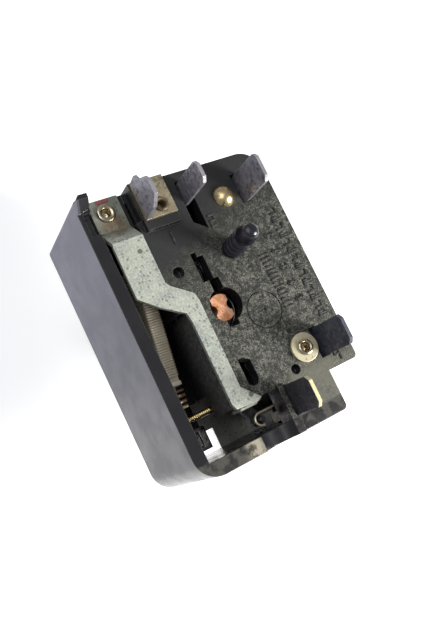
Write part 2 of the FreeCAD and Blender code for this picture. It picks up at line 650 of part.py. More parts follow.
def make_terminal_1():
    """Base plate on the raised block, its left edge turned up into a blade with a worn outline."""
    z = DECK_Z + BLOCK_H
    base = box(TAB1_X[0], TAB1_X[1], TAB1_Y[0], TAB1_Y[1], z, z + TAB_T)
    side = [(TAB1_Y[0] + along, z + up) for along, up in TAB1_SIDE]
    blade = prism_x(side, TAB1_X[0], TAB1_X[0] + TAB_T)
    return base.fuse(blade).removeSplitter().cut(rod(RIVET1[0], RIVET1[1], 0, HIGH, RIVET1_R + RUN))


def make_terminal_2():
    """Blade with a run under the terminal face and a drop that holds the contact arm."""
    x, y = TAB2
    x0, x1 = RUN2_X
    hold_y = ARM_Y[1] - ARM_HOLD
    drop_x = ARM_X + ARM_T + GAP
    blade = tab_blade(x, y, TAB_FOOT_Z, TAB2_W)
    cross = foot(x0, x + TAB_T, y, y + TAB2_W)
    run = foot(x0, x1, hold_y, y + TAB2_W)
    drop = box(drop_x, drop_x + TAB_T, hold_y, ARM_Y[1], ARM_Z[0], TAB_FOOT_Z + TAB_T)
    return blade.multiFuse([cross, run, drop]).removeSplitter()


def make_terminal_3():
    x, y = TAB3
    plate = foot(DOME3[0] - 2.6, x + TAB_T, y, y + TAB_W)
    hole = rod(DOME3[0], DOME3[1], 0, HIGH, DOME3_SHANK_R + RUN)
    return tab_blade(x, y, TAB_FOOT_Z).fuse(plate).removeSplitter().cut(hole)


def make_terminal_4():
    x, y = TAB4
    plate = foot(EYE4[0] - 2.8, x + TAB_T, y, y + TAB_W)
    hole = rod(EYE4[0], EYE4[1], 0, HIGH, EYE_R + RUN)
    return tab_blade(x, y, TAB_FOOT_Z).fuse(plate).removeSplitter().cut(hole)


def make_terminal_5():
    x, y = TAB5
    shoulder = UNDER_Z + 0.5
    blade = tab_blade(x, y, shoulder)
    tail = box(x, x + TAB_T, y, y + RUN5_W, RUN5_Z, shoulder + BITE)
    plate = foot(x, x + RUN5_LEN, y, y + RUN5_W, RUN5_Z)
    return blade.multiFuse([tail, plate]).removeSplitter()


def make_terminal_3_rivet():
    """Rivet with a domed head, its tail spread under the terminal's foot."""
    x, y = DOME3
    sphere_r = (DOME3_R * DOME3_R + DOME3_H * DOME3_H) / (2 * DOME3_H)
    dome = Part.makeSphere(sphere_r, V(x, y, DECK_Z + DOME3_H - sphere_r))
    dome = dome.common(box(x - DOME3_R, x + DOME3_R, y - DOME3_R, y + DOME3_R, DECK_Z, DECK_Z + DOME3_H))
    shank = rod(x, y, TAB_FOOT_Z, DECK_Z + BITE, DOME3_SHANK_R)
    tail = rod(x, y, TAB_FOOT_Z - 0.7, TAB_FOOT_Z, 1.8)
    return dome.fuse(shank).fuse(tail)


def make_washer_4():
    return ring(EYE4[0], EYE4[1], DECK_Z, DECK_Z + WASHER4_T, WASHER4_R, EYE_R + RUN)


def rolled_flange(x, y, seat, outer, bore):
    """Rolled lip of a hollow eyelet, on seat."""
    lip = Part.makeTorus((outer + bore) / 2, (outer - bore) / 2, V(x, y, seat + 0.1), V(0, 0, 1))
    return lip.common(box(x - outer, x + outer, y - outer, y + outer, seat, seat + outer))


def hollow_eyelet(place, low, seat, flange_r, tube_r, bore_r):
    """Eyelet with a rolled flange on seat and a flared tail at low."""
    x, y = place
    tube = rod(x, y, low, seat + 0.1, tube_r)
    tail = rod(x, y, low, low + TAIL_H, tube_r + TAIL_OUT)
    solid = tube.multiFuse([rolled_flange(x, y, seat, flange_r, bore_r), tail])
    return solid.cut(rod(x, y, low - OVER, HIGH, bore_r))


def make_eyelet_4():
    return hollow_eyelet(EYE4, TAB_FOOT_Z - TAIL_H, DECK_Z + WASHER4_T, EYE4_FLANGE_R, EYE_R, EYE4_BORE_R)


def make_rivet_1():
    low = LINE_STRAP_Z - TAIL_H
    return hollow_eyelet(RIVET1, low, DECK_Z + BLOCK_H + TAB_T, RIVET1_FLANGE_R, RIVET1_R, RIVET1_BORE_R)


def make_carrier_eyelet():
    """Blind eyelet that clamps the strap's pad and the bimetal's bracket."""
    x, y = EYE_PAD
    low = SEAT_TOP - EYE_PAD_DEPTH
    seat = SEAT_TOP + STRAP_T
    tube = rod(x, y, low, seat + 0.1, EYE_R)
    return tube.fuse(rolled_flange(x, y, seat, 1.95, 1.05)).cut(rod(x, y, low + 1.3, HIGH, EYE_PAD_BORE_R))


# --- strap and bimetal ---------------------------------------------------------------------------
def make_strap():
    """Strap over the trough, stepped down to its seat at the far end, with a lip turned down at the near end."""
    z = DECK_Z
    top = z + STRAP_T
    pad_top = SEAT_TOP + STRAP_T
    flat = prism(STRAP_PLAN, z, top)
    side = [(STRAP_END_Y - BITE, z), (STRAP_END_Y - BITE, top), (STRAP_END_Y + 0.6, top), (SEAT_Y + 0.6, pad_top),
            (CASE_L, pad_top), (CASE_L, SEAT_TOP), (SEAT_Y + 0.3, SEAT_TOP), (STRAP_END_Y + 0.3, z)]
    ramp = prism_x(side, STRAP_X[0], STRAP_X[1])
    lip = prism_x([(LIP_Y[0], LIP_Z), (LIP_Y[1], LIP_Z), (LIP_Y[1], z + 0.2), (LIP_Y[1] - 0.3, top - 0.1),
                   (LIP_Y[0], z + 0.1)], LIP_X[0], LIP_X[1])
    strap = flat.fuse(ramp).fuse(lip).removeSplitter()
    return strap.cut(rod(EYE_PAD[0], EYE_PAD[1], 0, HIGH, EYE_R + RUN))


def make_bimetal_foot():
    """Bracket under the strap's pad that holds the bimetal on edge."""
    x0, x1 = BRACKET_X
    low = SEAT_TOP - STEEL_T
    pad = box(x0, x1, SEAT_Y + 0.3, TAB1_Y[1] - 2 * FIT, low, SEAT_TOP)
    neck = box(BRACKET_NECK_X, x1, BRACKET_Y, SEAT_Y + 0.4, low, SEAT_TOP)
    drop = box(BRACKET_DROP_X, x1, BRACKET_Y, SEAT_Y - 0.2, BRACKET_LOW_Z, SEAT_TOP)
    return pad.multiFuse([neck, drop]).removeSplitter().cut(rod(EYE_PAD[0], EYE_PAD[1], 0, HIGH, EYE_R + RUN))


def bimetal_frame(shape):
    """Turns a piece drawn along -Y from its root so that it points at the bimetal's tip."""
    dx = BIMETAL_TIP[0] - BIMETAL_ROOT[0]
    dy = BIMETAL_ROOT[1] - BIMETAL_TIP[1]
    turned = shape.copy()
    turned.rotate(V(0, 0, 0), V(0, 0, 1), math.degrees(math.atan2(dx, dy)))
    turned.translate(V(BIMETAL_ROOT[0], BIMETAL_ROOT[1], 0))
    return turned


def bimetal_length():
    return math.hypot(BIMETAL_TIP[0] - BIMETAL_ROOT[0], BIMETAL_ROOT[1] - BIMETAL_TIP[1])


def strip_edges(s):
    """Low and high Z of the tapering strip at s along it, past its step."""
    share = s / bimetal_length()
    low = STRIP_LOW_Z[0] + (STRIP_LOW_Z[1] - STRIP_LOW_Z[0]) * share
    return low, STRIP_HIGH_Z[0] + (STRIP_HIGH_Z[1] - STRIP_HIGH_Z[0]) * share


def strip_band(s0, s1, half, grow):
    """Length of the strip from s0 to s1, with its edges moved out by grow."""
    low0, high0 = strip_edges(s0)
    low1, high1 = strip_edges(s1)
    return prism_x([(-s0, low0 - grow), (-s0, high0 + grow), (-s1, high1 + grow), (-s1, low1 - grow)], -half, half)


def make_bimetal():
    half = BIMETAL_T / 2
    step_low = strip_edges(BIMETAL_STEP)[0]
    step_y = -BIMETAL_STEP - BITE
    root = prism_x([(0, ROOT_Z[0]), (0, ROOT_Z[1]), (step_y, ROOT_Z[1]), (step_y, step_low)], -half, half)
    strip = root.fuse(strip_band(BIMETAL_STEP, bimetal_length(), half, 0)).removeSplitter()
    return bimetal_frame(strip).cut(rod_x(0, ARM_X, SCREW_Y, SCREW_Z, SCREW_R))


def make_sleeve():
    s0, s1 = SLEEVE_SPAN
    inside = BIMETAL_T / 2 + SLEEVE_PLAY
    outer = strip_band(s0, s1, BIMETAL_T / 2 + SLEEVE_T, SLEEVE_T)
    inner = strip_band(s0 - OVER, s1 + OVER, inside, SLEEVE_PLAY)
    return bimetal_frame(outer.cut(inner))


def make_heater():
    """Resistance ribbon wound round the sleeve, drawn as one band to a turn."""
    s0, s1 = SLEEVE_SPAN
    grow = SLEEVE_T + SLEEVE_PLAY
    skin = BIMETAL_T / 2 + grow
    turns = []
    for i in range(int((s1 - s0 - 2 * COIL_END) / COIL_PITCH)):
        s = s0 + COIL_END + i * COIL_PITCH
        outer = strip_band(s, s + COIL_PITCH * COIL_SHARE, skin + COIL_T, grow + COIL_T)
        inner = strip_band(s - OVER, s + COIL_PITCH + OVER, skin, grow)
        turns.append(bimetal_frame(outer.cut(inner)))
    return Part.makeCompound(turns)


def make_calibration_screw():
    """Brass screw through the bimetal's tip, with its point just short of the contact arm."""
    end = ARM_X - GAP
    neck = SCREW_X + SCREW_HEAD_T
    point_x = end - SCREW_R
    radius = SCREW_R - RUN
    shank = rod_x(neck, point_x, SCREW_Y, SCREW_Z, radius)
    point = Part.makeCone(radius, SCREW_POINT_R, SCREW_R, V(point_x, SCREW_Y, SCREW_Z), V(1, 0, 0))
    head = rod_x(SCREW_X, neck, SCREW_Y, SCREW_Z, SCREW_HEAD_R)
    half = SCREW_SLOT / 2
    slot = box(SCREW_X - OVER, SCREW_X + 0.3, SCREW_Y - half, SCREW_Y + half, SCREW_Z - OVER * 2, SCREW_Z + OVER * 2)
    return shank.multiFuse([point, head]).cut(slot)


def make_stop_bracket():
    """Bent steel bracket that limits how far the bimetal's tip can bend towards the near wall."""
    x0, x1 = STOP_X
    y0, y1 = STOP_Y
    base = box(x0, x1, y0, y1, FLOOR_Z, FLOOR_Z + STEEL_T)
    riser = box(x1 - STEEL_T, x1, y0, y1, FLOOR_Z, STOP_SHELF_Z)
    shelf = box(x1 - STEEL_T, STOP_SHELF_X, y0 + 0.3, y1 - 0.1, STOP_SHELF_Z - STEEL_T, STOP_SHELF_Z)
    curl = box(STOP_SHELF_X - STEEL_T, STOP_SHELF_X, y0 + 0.7, y1 - 0.8, STOP_SHELF_Z - STOP_CURL, STOP_SHELF_Z)
    return base.multiFuse([riser, shelf, curl]).removeSplitter()


# --- contacts ------------------------------------------------------------------------------------
def make_contact_arm():
    arm = box(ARM_X, ARM_X + ARM_T, ARM_Y[0], ARM_Y[1], ARM_Z[0], ARM_Z[1])
    nick_low = ARM_Z[0] + ARM_NICK_EDGE
    nick_high = ARM_Z[1] - ARM_NICK_EDGE
    nick = box(ARM_X - OVER, ARM_X + OVER, ARM_NICK_Y[0], ARM_NICK_Y[1], nick_low, nick_high)
    return arm.cut(nick)


def make_moving_contact():
    return rod_x(ARM_X + ARM_T, ARM_X + ARM_T + CONTACT_T, CONTACT_Y, sum(ARM_Z) / 2, CONTACT_R)


def make_line_strap():
    """Strip under the deck that joins terminal 1 to the fixed line contact."""
    z = LINE_STRAP_Z
    x0, x1 = LINE_STRAP_X
    y0, y1 = LINE_STRAP_Y
    pad = box(x0, LINE_PAD_X, RIVET1[1] - LINE_PAD_HALF, RIVET1[1] + LINE_PAD_HALF, z, z + TAB_T)
    run = box(x0, x1, y0, RIVET1[1], z, z + TAB_T)
    drop = box(x0, x0 + TAB_T, y0, y1, LINE_Z[0] - 0.6, z + TAB_T)
    return pad.multiFuse([run, drop]).removeSplitter().cut(rod(RIVET1[0], RIVET1[1], 0, HIGH, RIVET1_R + RUN))


def make_line_fixed_contact():
    x = LINE_STRAP_X[0] + TAB_T
    return rod_x(x, x + FIXED_CONTACT_T, LINE_CONTACT_Y, sum(LINE_Z) / 2, FIXED_CONTACT_R)


def make_line_arm():
    """Lever under the deck with a stud for the hook spring and a seat for the line contact."""
    x, y = LINE_PIVOT
    z0, z1 = LINE_Z
    lower = bar([LINE_PIVOT, (HOOK_X, HOOK_Y)], LINE_HALF, z0, z1)
    upper = bar([LINE_PIVOT, LINE_ELBOW, LINE_END], LINE_HALF, z0, z1)
    stud = rod(HOOK_X, HOOK_Y, z1, HOOK_Z + 0.9, STUD_R)
    boss = rod(x, y, z0, z1 + STUD_R, LINE_BOSS_R)
    return lower.multiFuse([upper, stud, boss]).removeSplitter().cut(rod(x, y, 0, HIGH, LINE_PIN_R + RUN))


def make_line_contact():
    return rod_x(LINE_CONTACT_X, LINE_CONTACT_X + LINE_CONTACT_T, LINE_CONTACT_Y, sum(LINE_Z) / 2, LINE_CONTACT_R)


def make_line_pin():
    x, y = LINE_PIVOT
    top = LINE_Z[0] - GAP
    head = rod(x, y, top - LINE_PIN_HEAD_T, top, LINE_PIN_HEAD_R)
    return rod(x, y, top, UNDER_Z + PIN_DEPTH, LINE_PIN_R).fuse(head)


def make_hook_spring():
    """Tension spring whose hook goes round the line arm's stud."""
    y_wire = HOOK_Y + HOOK_R
    start = V(HOOK_X + HOOK_END, HOOK_Y - HOOK_R, HOOK_Z)
    arc_from = V(HOOK_X, HOOK_Y - HOOK_R, HOOK_Z)
    arc_middle = V(HOOK_X - HOOK_R, HOOK_Y, HOOK_Z)
    arc_to = V(HOOK_X, y_wire, HOOK_Z)
    finish = V(HOOK_COIL_X + HOOK_END, y_wire, HOOK_Z)
    arc = Part.Arc(arc_from, arc_middle, arc_to).toShape()
    path = Part.Wire([Part.makeLine(start, arc_from), arc, Part.makeLine(arc_to, finish)])
    profile = Part.Wire([Part.makeCircle(WIRE_R, start, V(1, 0, 0))])
    hook = path.makePipeShell([profile], True, True)
    coil = helix_wire(HOOK_COIL_PITCH, HOOK_COIL_LEN, HOOK_COIL_R, WIRE_R, V(0, 0, 0))
    coil.rotate(V(0, 0, 0), V(0, 1, 0), 90)
    coil.translate(V(HOOK_COIL_X, y_wire, HOOK_Z + HOOK_COIL_R))
    loop = Part.makeTorus(HOOK_LOOP_R, WIRE_R, V(ANCHOR_X, y_wire, HOOK_Z), V(0, 0, 1))
    return hook.fuse(coil).fuse(loop)


def make_spring_anchor():
    y = HOOK_Y + HOOK_R
    pin = rod(ANCHOR_X, y, ANCHOR_LOW_Z, UNDER_Z + PIN_DEPTH, ANCHOR_R)
    return pin.fuse(rod(ANCHOR_X, y, ANCHOR_LOW_Z - ANCHOR_HEAD_T, ANCHOR_LOW_Z, ANCHOR_R + ANCHOR_HEAD_OUT))


def make_ribbed_post():
    """Black plastic plug pushed into the terminal face."""
    x, y = PLUG
    stem = rod(x, y, UNDER_Z - 0.6, DECK_Z + 0.1, PLUG_STEM_R)
    corners = [V(x + r, y, DECK_Z + z) for r, z in PLUG_SIDE]
    face = Part.Face(Part.makePolygon(corners + corners[:1]))
    return face.revolve(V(x, y, 0), V(0, 0, 1), 360).fuse(stem)


# --- raised marks --------------------------------------------------------------------------------
SEGMENTS = {"1": "bc", "2": "abged", "3": "abgcd", "4": "fgbc", "5": "afgcd"}


def digit(mark, x, y):
    """A numeral made of seven-segment bars raised from the terminal face; its top points along +Y."""
    w = MARK_H * 0.5
    h = MARK_H / 2
    t = MARK_H * 0.07
    bars = {"a": (0, w, 2 * h, 2 * h), "g": (0, w, h, h), "d": (0, w, 0, 0), "f": (0, 0, h, 2 * h),
            "b": (w, w, h, 2 * h), "e": (0, 0, 0, h), "c": (w, w, 0, h)}
    solids = []
    for name in SEGMENTS[mark]:
        x0, x1, y0, y1 = bars[name]
        solids.append(box(x + x0 - t, x + x1 + t, y + y0 - t, y + y1 + t, DECK_Z, DECK_Z + MARK_RISE))
    return solids[0].multiFuse(solids[1:]).removeSplitter()


def make_terminal_numbers():
    marks = [("1", TAB1_X[0] + 3.2, BLOCK_Y - 3.9), ("2", TAB2[0] + 2.9, TAB2[1] - 6.4),
             ("3", TAB3[0] + 2.3, TAB3[1] + 1.6), ("4", TAB4[0] + 1.9, TAB4[1] - 1.9),
             ("5", TAB5[0] + 3.3, TAB5[1] + 0.1)]
    return Part.makeCompound([digit(mark, x, y) for mark, x, y in marks])


def main():
    os.makedirs("parts", exist_ok=True)
    save("housing", make_housing())
    save("front_plate", make_front_plate())
    save("plate_rivets", make_plate_rivets())
    save("shaft_bushing", make_bushing())
    save("control_shaft", make_shaft())
    save("retaining_clip", make_clip())
    save("thrust_washer", make_thrust_washer())
    save("shaft_spring", make_shaft_spring())
    save("heat_cam", make_cam())
    save("cam_follower", make_follower())
    save("cycling_contact", make_cycling_contact())
    save("follower_pin", make_follower_pin())
    save("terminal_1", make_terminal_1())
    save("terminal_2", make_terminal_2())
    save("terminal_3", make_terminal_3())
    save("terminal_4", make_terminal_4())
    save("terminal_5", make_terminal_5())
    save("terminal_1_rivet", make_rivet_1())
    save("terminal_3_rivet", make_terminal_3_rivet())
    save("terminal_4_washer", make_washer_4())
    save("terminal_4_eyelet", make_eyelet_4())
    save("carrier_strap", make_strap())
    save("carrier_eyelet", make_carrier_eyelet())
    save("bimetal_foot", make_bimetal_foot())
    save("bimetal_strip", make_bimetal())
    save("insulation_sleeve", make_sleeve())
    save("heater_winding", make_heater())
    save("calibration_screw", make_calibration_screw())
    save("stop_bracket", make_stop_bracket())
    save("contact_arm", make_contact_arm())
    save("moving_contact", make_moving_contact())
    save("line_strap", make_line_strap())
    save("line_fixed_contact", make_line_fixed_contact())
    save("line_arm", make_line_arm())
    save("line_contact", make_line_contact())
    save("line_pin", make_line_pin())
    save("hook_spring", make_hook_spring())
    save("spring_anchor", make_spring_anchor())
    save("ribbed_post", make_ribbed_post())
    save("terminal_numbers", make_terminal_numbers())


main()
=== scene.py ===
"""Looks of a range heat control switch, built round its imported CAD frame.

Lengths in the dataclasses are millimetres in the frame's own axes: the shaft axis on the panel face is the
origin, +Z points to the terminals. The frame itself is in metres.
"""

import logging
import math
from dataclasses import dataclass
from enum import Enum
from typing import Any, Callable, Sequence

import bpy
from mathutils import Matrix, Vector

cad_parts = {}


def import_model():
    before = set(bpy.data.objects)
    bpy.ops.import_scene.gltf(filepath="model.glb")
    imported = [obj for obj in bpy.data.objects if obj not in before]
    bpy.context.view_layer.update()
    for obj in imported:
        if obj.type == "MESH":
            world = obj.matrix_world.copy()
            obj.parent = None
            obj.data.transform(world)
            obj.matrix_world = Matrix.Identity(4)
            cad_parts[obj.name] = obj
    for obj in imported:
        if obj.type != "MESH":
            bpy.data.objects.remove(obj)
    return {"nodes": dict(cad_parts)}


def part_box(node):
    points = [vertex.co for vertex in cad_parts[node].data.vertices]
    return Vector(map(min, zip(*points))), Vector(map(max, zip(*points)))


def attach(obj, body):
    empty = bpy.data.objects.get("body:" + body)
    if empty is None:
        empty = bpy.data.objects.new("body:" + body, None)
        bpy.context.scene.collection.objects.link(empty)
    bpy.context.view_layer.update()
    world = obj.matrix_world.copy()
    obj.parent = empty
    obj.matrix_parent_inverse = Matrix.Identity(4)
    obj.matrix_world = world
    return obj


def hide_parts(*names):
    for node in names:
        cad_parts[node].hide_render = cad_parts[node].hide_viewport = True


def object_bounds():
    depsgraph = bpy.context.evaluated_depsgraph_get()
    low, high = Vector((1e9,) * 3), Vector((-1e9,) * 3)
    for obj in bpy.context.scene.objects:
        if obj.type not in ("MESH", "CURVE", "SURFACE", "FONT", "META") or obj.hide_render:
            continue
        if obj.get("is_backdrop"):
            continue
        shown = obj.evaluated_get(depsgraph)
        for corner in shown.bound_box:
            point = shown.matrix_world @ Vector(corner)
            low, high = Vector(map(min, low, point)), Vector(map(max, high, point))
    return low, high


LOG = logging.getLogger("heat_switch")
MM = 0.001
FACE_Z = 25.7
SLANT = math.radians(24.0)
Colour = tuple[float, float, float]
Point = tuple[float, float, float]
Socket = bpy.types.NodeSocket
Given = dict[str, bpy.types.NodeSocket]
Piece = bpy.types.Object


# Shader building
class Graph:
    """A node tree being built, with short calls for the steps that finishes repeat."""

    def __init__(self, tree: bpy.types.NodeTree) -> None:
        """Keeps the tree.

        Args:
            tree: the material's or group's node tree.
        """
        self.tree = tree
        self.shader: bpy.types.Node | None = None

    def add(self, kind: str, inputs: dict[Any, Any] | None = None, **attributes: Any) -> bpy.types.Node:
        """Adds a node.

        Args:
            kind: the node's type without its ShaderNode prefix.
            inputs: values or sockets for the node's inputs, by name or number.
            attributes: settings of the node itself.

        Returns:
            The new node.
        """
        prefix = "" if kind.startswith("Node") else "ShaderNode"
        node = self.tree.nodes.new(prefix + kind)
        for name, value in attributes.items():
            setattr(node, name, value)
        for name, value in (inputs or {}).items():
            self.feed(node.inputs[name], value)
        return node

    def feed(self, socket: Socket, value: Any) -> None:
        """Links a socket to value, or sets it where value is a number or a colour."""
        if isinstance(value, Socket):
            self.tree.links.new(value, socket)
        elif isinstance(value, tuple) and len(value) == 3 and socket.type == "RGBA":
            socket.default_value = (*value, 1.0)
        else:
            socket.default_value = value

    def math(self, operation: str, a: Any, b: Any = 0.0, clamp: bool = False) -> Socket:
        """Returns the result of one Math node."""
        return self.add("Math", {0: a, 1: b}, operation=operation, use_clamp=clamp).outputs[0]

    def fill(self, node: bpy.types.Node, **values: Any) -> None:
        """Feeds a node's inputs by name, with _ for a space in a name."""
        for name, value in values.items():
            self.feed(node.inputs[name.replace("_", " ")], value)

    def surface(self, **values: Any) -> None:
        """Feeds the material's shader inputs by name, with _ for a space in a name."""
        self.fill(self.shader, **values)

    def soften(self, height: Any, strength: float, depth: float, radius: float) -> None:
        """Feeds the shader's Normal: rounded edges, with height as a bump on them."""
        rounded = self.add("Bevel", {"Radius": radius}, samples=6).outputs[0]
        names = {"Height": height, "Strength": strength, "Distance": depth, "Normal": rounded}
        self.surface(Normal=self.add("Bump", names).outputs[0])

    def times(self, a: Any, b: Any, clamp: bool = False) -> Socket:
        """Returns a times b."""
        return self.math("MULTIPLY", a, b, clamp)

    def plus(self, a: Any, b: Any, clamp: bool = False) -> Socket:
        """Returns a plus b."""
        return self.math("ADD", a, b, clamp)

    def less(self, a: Any, b: Any, clamp: bool = False) -> Socket:
        """Returns a less b."""
        return self.math("SUBTRACT", a, b, clamp)

    def most(self, a: Any, b: Any) -> Socket:
        """Returns the larger of a and b."""
        return self.math("MAXIMUM", a, b)

    def noise(self, scale: Any, detail: float = 2.0, rough: float = 0.5, place: Socket | None = None) -> Socket:
        """Returns noise at a place, which is the Object coordinates unless given."""
        names = {"Vector": place or self.place(), "Scale": scale, "Detail": detail, "Roughness": rough}
        return self.add("TexNoise", names).outputs[0]

    def mix(self, share: Any, a: Any, b: Any) -> Socket:
        """Returns the colour that goes from a to b with share."""
        return self.add("Mix", {0: share, 6: a, 7: b}, data_type="RGBA").outputs[2]

    def spread(self, value: Any, low: Any, high: Any, to_low: float = 0.0, to_high: float = 1.0) -> Socket:
        """Returns value mapped smoothly from low..high to to_low..to_high."""
        names = {"Value": value, "From Min": low, "From Max": high, "To Min": to_low, "To Max": to_high}
        return self.add("MapRange", names, interpolation_type="SMOOTHSTEP").outputs[0]

    def vary(self, share: Any, low: float, high: float) -> Socket:
        """Returns the value that goes smoothly from low to high as share goes from 0 to 1."""
        return self.spread(share, 0.0, 1.0, low, high)

    def place(self) -> Socket:
        """Returns the Object coordinates, in metres in the frame's axes."""
        return self.add("TexCoord").outputs["Object"]

    def axes(self) -> tuple[Socket, ...]:
        """Returns X, Y and Z of the place."""
        return tuple(self.add("SeparateXYZ", {0: self.place()}).outputs)

    def facing_up(self) -> Socket:
        """Returns how far the surface faces +Z, from -1 to 1."""
        return self.add("SeparateXYZ", {0: self.add("NewGeometry").outputs["Normal"]}).outputs["Z"]


@dataclass(frozen=True)
class Effect:
    """A shader node group that several finishes share."""

    name: str
    inputs: dict[str, float]
    body: Callable[[Graph, Given], Socket]
    output: str = "Mask"

    def tree(self) -> bpy.types.NodeTree:
        """Returns the group's tree, built the first time it is asked for."""
        known = bpy.data.node_groups.get(self.name)
        if known is not None:
            return known
        made = bpy.data.node_groups.new(self.name, "ShaderNodeTree")
        for name, value in self.inputs.items():
            made.interface.new_socket(name=name, in_out="INPUT",
                                      socket_type="NodeSocketFloat").default_value = value
        made.interface.new_socket(name=self.output, in_out="OUTPUT", socket_type="NodeSocketFloat")
        graph = Graph(made)
        entry = graph.add("NodeGroupInput")
        result = self.body(graph, {name: entry.outputs[name] for name in self.inputs})
        graph.add("NodeGroupOutput", {self.output: result})
        return made

    def use(self, graph: Graph, **values: Any) -> Socket:
        """Places the group in a material.

        Args:
            graph: the material's graph.
            values: values or sockets for the group's inputs, with _ for a space in a name.

        Returns:
            The group's output.
        """
        node = graph.add("Group", node_tree=self.tree())
        graph.fill(node, **values)
        return node.outputs[self.output]


def _edge_body(graph: Graph, given: Given) -> Socket:
    """Mask of convex and concave edges, broken up by grain."""
    rounded = graph.add("Bevel", {"Radius": given["Width"]}, samples=6).outputs[0]
    flat = graph.add("NewGeometry").outputs["Normal"]
    agree = graph.add("VectorMath", {0: rounded, 1: flat}, operation="DOT_PRODUCT").outputs["Value"]
    turn = graph.less(1.0, agree)
    grain = graph.noise(given["Grain Scale"], 5.0)
    broken = graph.times(graph.spread(turn, 0.004, 0.10), graph.spread(grain, 0.36, 0.62))
    return graph.times(broken, given["Amount"], clamp=True)


def _blotch_body(graph: Graph, given: Given) -> Socket:
    """Mask of soft uneven patches."""
    noise = graph.noise(given["Scale"], 6.0, 0.62)
    low = graph.less(given["Level"], given["Softness"])
    high = graph.plus(given["Level"], given["Softness"])
    return graph.spread(noise, low, high)


def _speck_body(graph: Graph, given: Given) -> Socket:
    """Mask of small separate specks, of uneven size and share."""
    noise = graph.noise(given["Scale"])
    cells = graph.add("TexVoronoi", {"Vector": graph.place(), "Scale": given["Scale"], "Randomness": 1.0})
    lucky = graph.add("SeparateColor", {0: cells.outputs["Color"]}).outputs[0]
    kept = graph.math("GREATER_THAN", given["Share"], lucky)
    reach = graph.times(given["Size"], graph.plus(noise, 0.35))
    near = graph.less(reach, cells.outputs["Distance"])
    return graph.times(kept, graph.spread(near, 0.0, 0.10), clamp=True)


def _fleck_body(graph: Graph, given: Given) -> Socket:
    """Mask of short crooked flecks, like dust caught in a pitted skin."""
    warp = graph.add("TexNoise",
                     {"Vector": graph.place(), "Scale": given["Scale"], "Detail": 1.0}).outputs["Color"]
    pull = graph.add("VectorMath", {0: warp, "Scale": 0.00045}, operation="SCALE").outputs[0]
    place = graph.add("VectorMath", {0: graph.place(), 1: pull}, operation="ADD").outputs[0]
    noise = graph.noise(given["Scale"], 2.5, 0.6, place)
    ridge = graph.math("ABSOLUTE", graph.less(noise, given["Level"]))
    gate = graph.noise(graph.times(given["Scale"], 0.45), place=place)
    return graph.times(graph.spread(ridge, 0.055, 0.015), graph.spread(gate, 0.40, 0.58))


def _scratch_body(graph: Graph, given: Given) -> Socket:
    """Mask of thin drawn lines that run across the part at a slant."""
    turned = graph.add("Mapping", {"Vector": graph.place(), "Rotation": (0.3, 0.5, SLANT)})
    long = graph.add("Mapping", {"Vector": turned.outputs[0], "Scale": (1.0, 0.06, 0.35)})
    noise = graph.noise(given["Scale"], 3.0, 0.7, long.outputs[0])
    away = graph.math("ABSOLUTE", graph.less(noise, 0.5))
    line = graph.spread(away, given["Width"], 0.0)
    return graph.times(line, given["Amount"], clamp=True)


def _grain_body(graph: Graph, given: Given) -> Socket:
    """Fine height for a Bump node: coarse swell with granules on it."""
    coarse = graph.noise(given["Scale"], 4.0, 0.7)
    fine = graph.noise(graph.times(given["Scale"], 4.3))
    return graph.plus(coarse, graph.times(fine, given["Granules"]))


def _dust_body(graph: Graph, given: Given) -> Socket:
    """Mask of dust that has settled on faces that look up."""
    up = graph.spread(graph.facing_up(), 0.35, 0.95)
    cloud = graph.noise(given["Scale"], 7.0, 0.72)
    patch = graph.spread(cloud, 0.38, 0.66)
    return graph.times(graph.times(up, patch), given["Amount"], clamp=True)


EDGE_WEAR = Effect("edge_wear", {"Width": 0.00025, "Grain Scale": 900.0, "Amount": 1.0}, _edge_body)
BLOTCHES = Effect("blotches", {"Scale": 260.0, "Level": 0.5, "Softness": 0.08}, _blotch_body)
SPECKS = Effect("specks", {"Scale": 1200.0, "Share": 0.3, "Size": 0.35}, _speck_body)
FLECKS = Effect("flecks", {"Scale": 1300.0, "Level": 0.5}, _fleck_body)
SCRATCHES = Effect("scratches", {"Scale": 1500.0, "Width": 0.02, "Amount": 1.0}, _scratch_body)
GRAIN = Effect("grain", {"Scale": 1800.0, "Granules": 0.5}, _grain_body, "Height")
DUST = Effect("settled_dust", {"Scale": 420.0, "Amount": 1.0}, _dust_body)


@dataclass(frozen=True)
class Finish:
    """Base of every finish: a name, and a material built once."""

    name: str

    def material(self) -> bpy.types.Material:
        """Returns the finish's material, built the first time it is asked for."""
        title = self.name + "_look"
        known = bpy.data.materials.get(title)
        if known is not None:
            return known
        made = bpy.data.materials.new(title)
        made.use_nodes = True
        made.node_tree.nodes.clear()
        graph = Graph(made.node_tree)
        graph.shader = graph.add("BsdfPrincipled")
        graph.add("OutputMaterial", {"Surface": graph.shader.outputs[0]})
        self.dress(graph)
        return made

    def dress(self, graph: Graph) -> None:
        """Sets the shader's inputs. Each finish has its own."""
        raise NotImplementedError


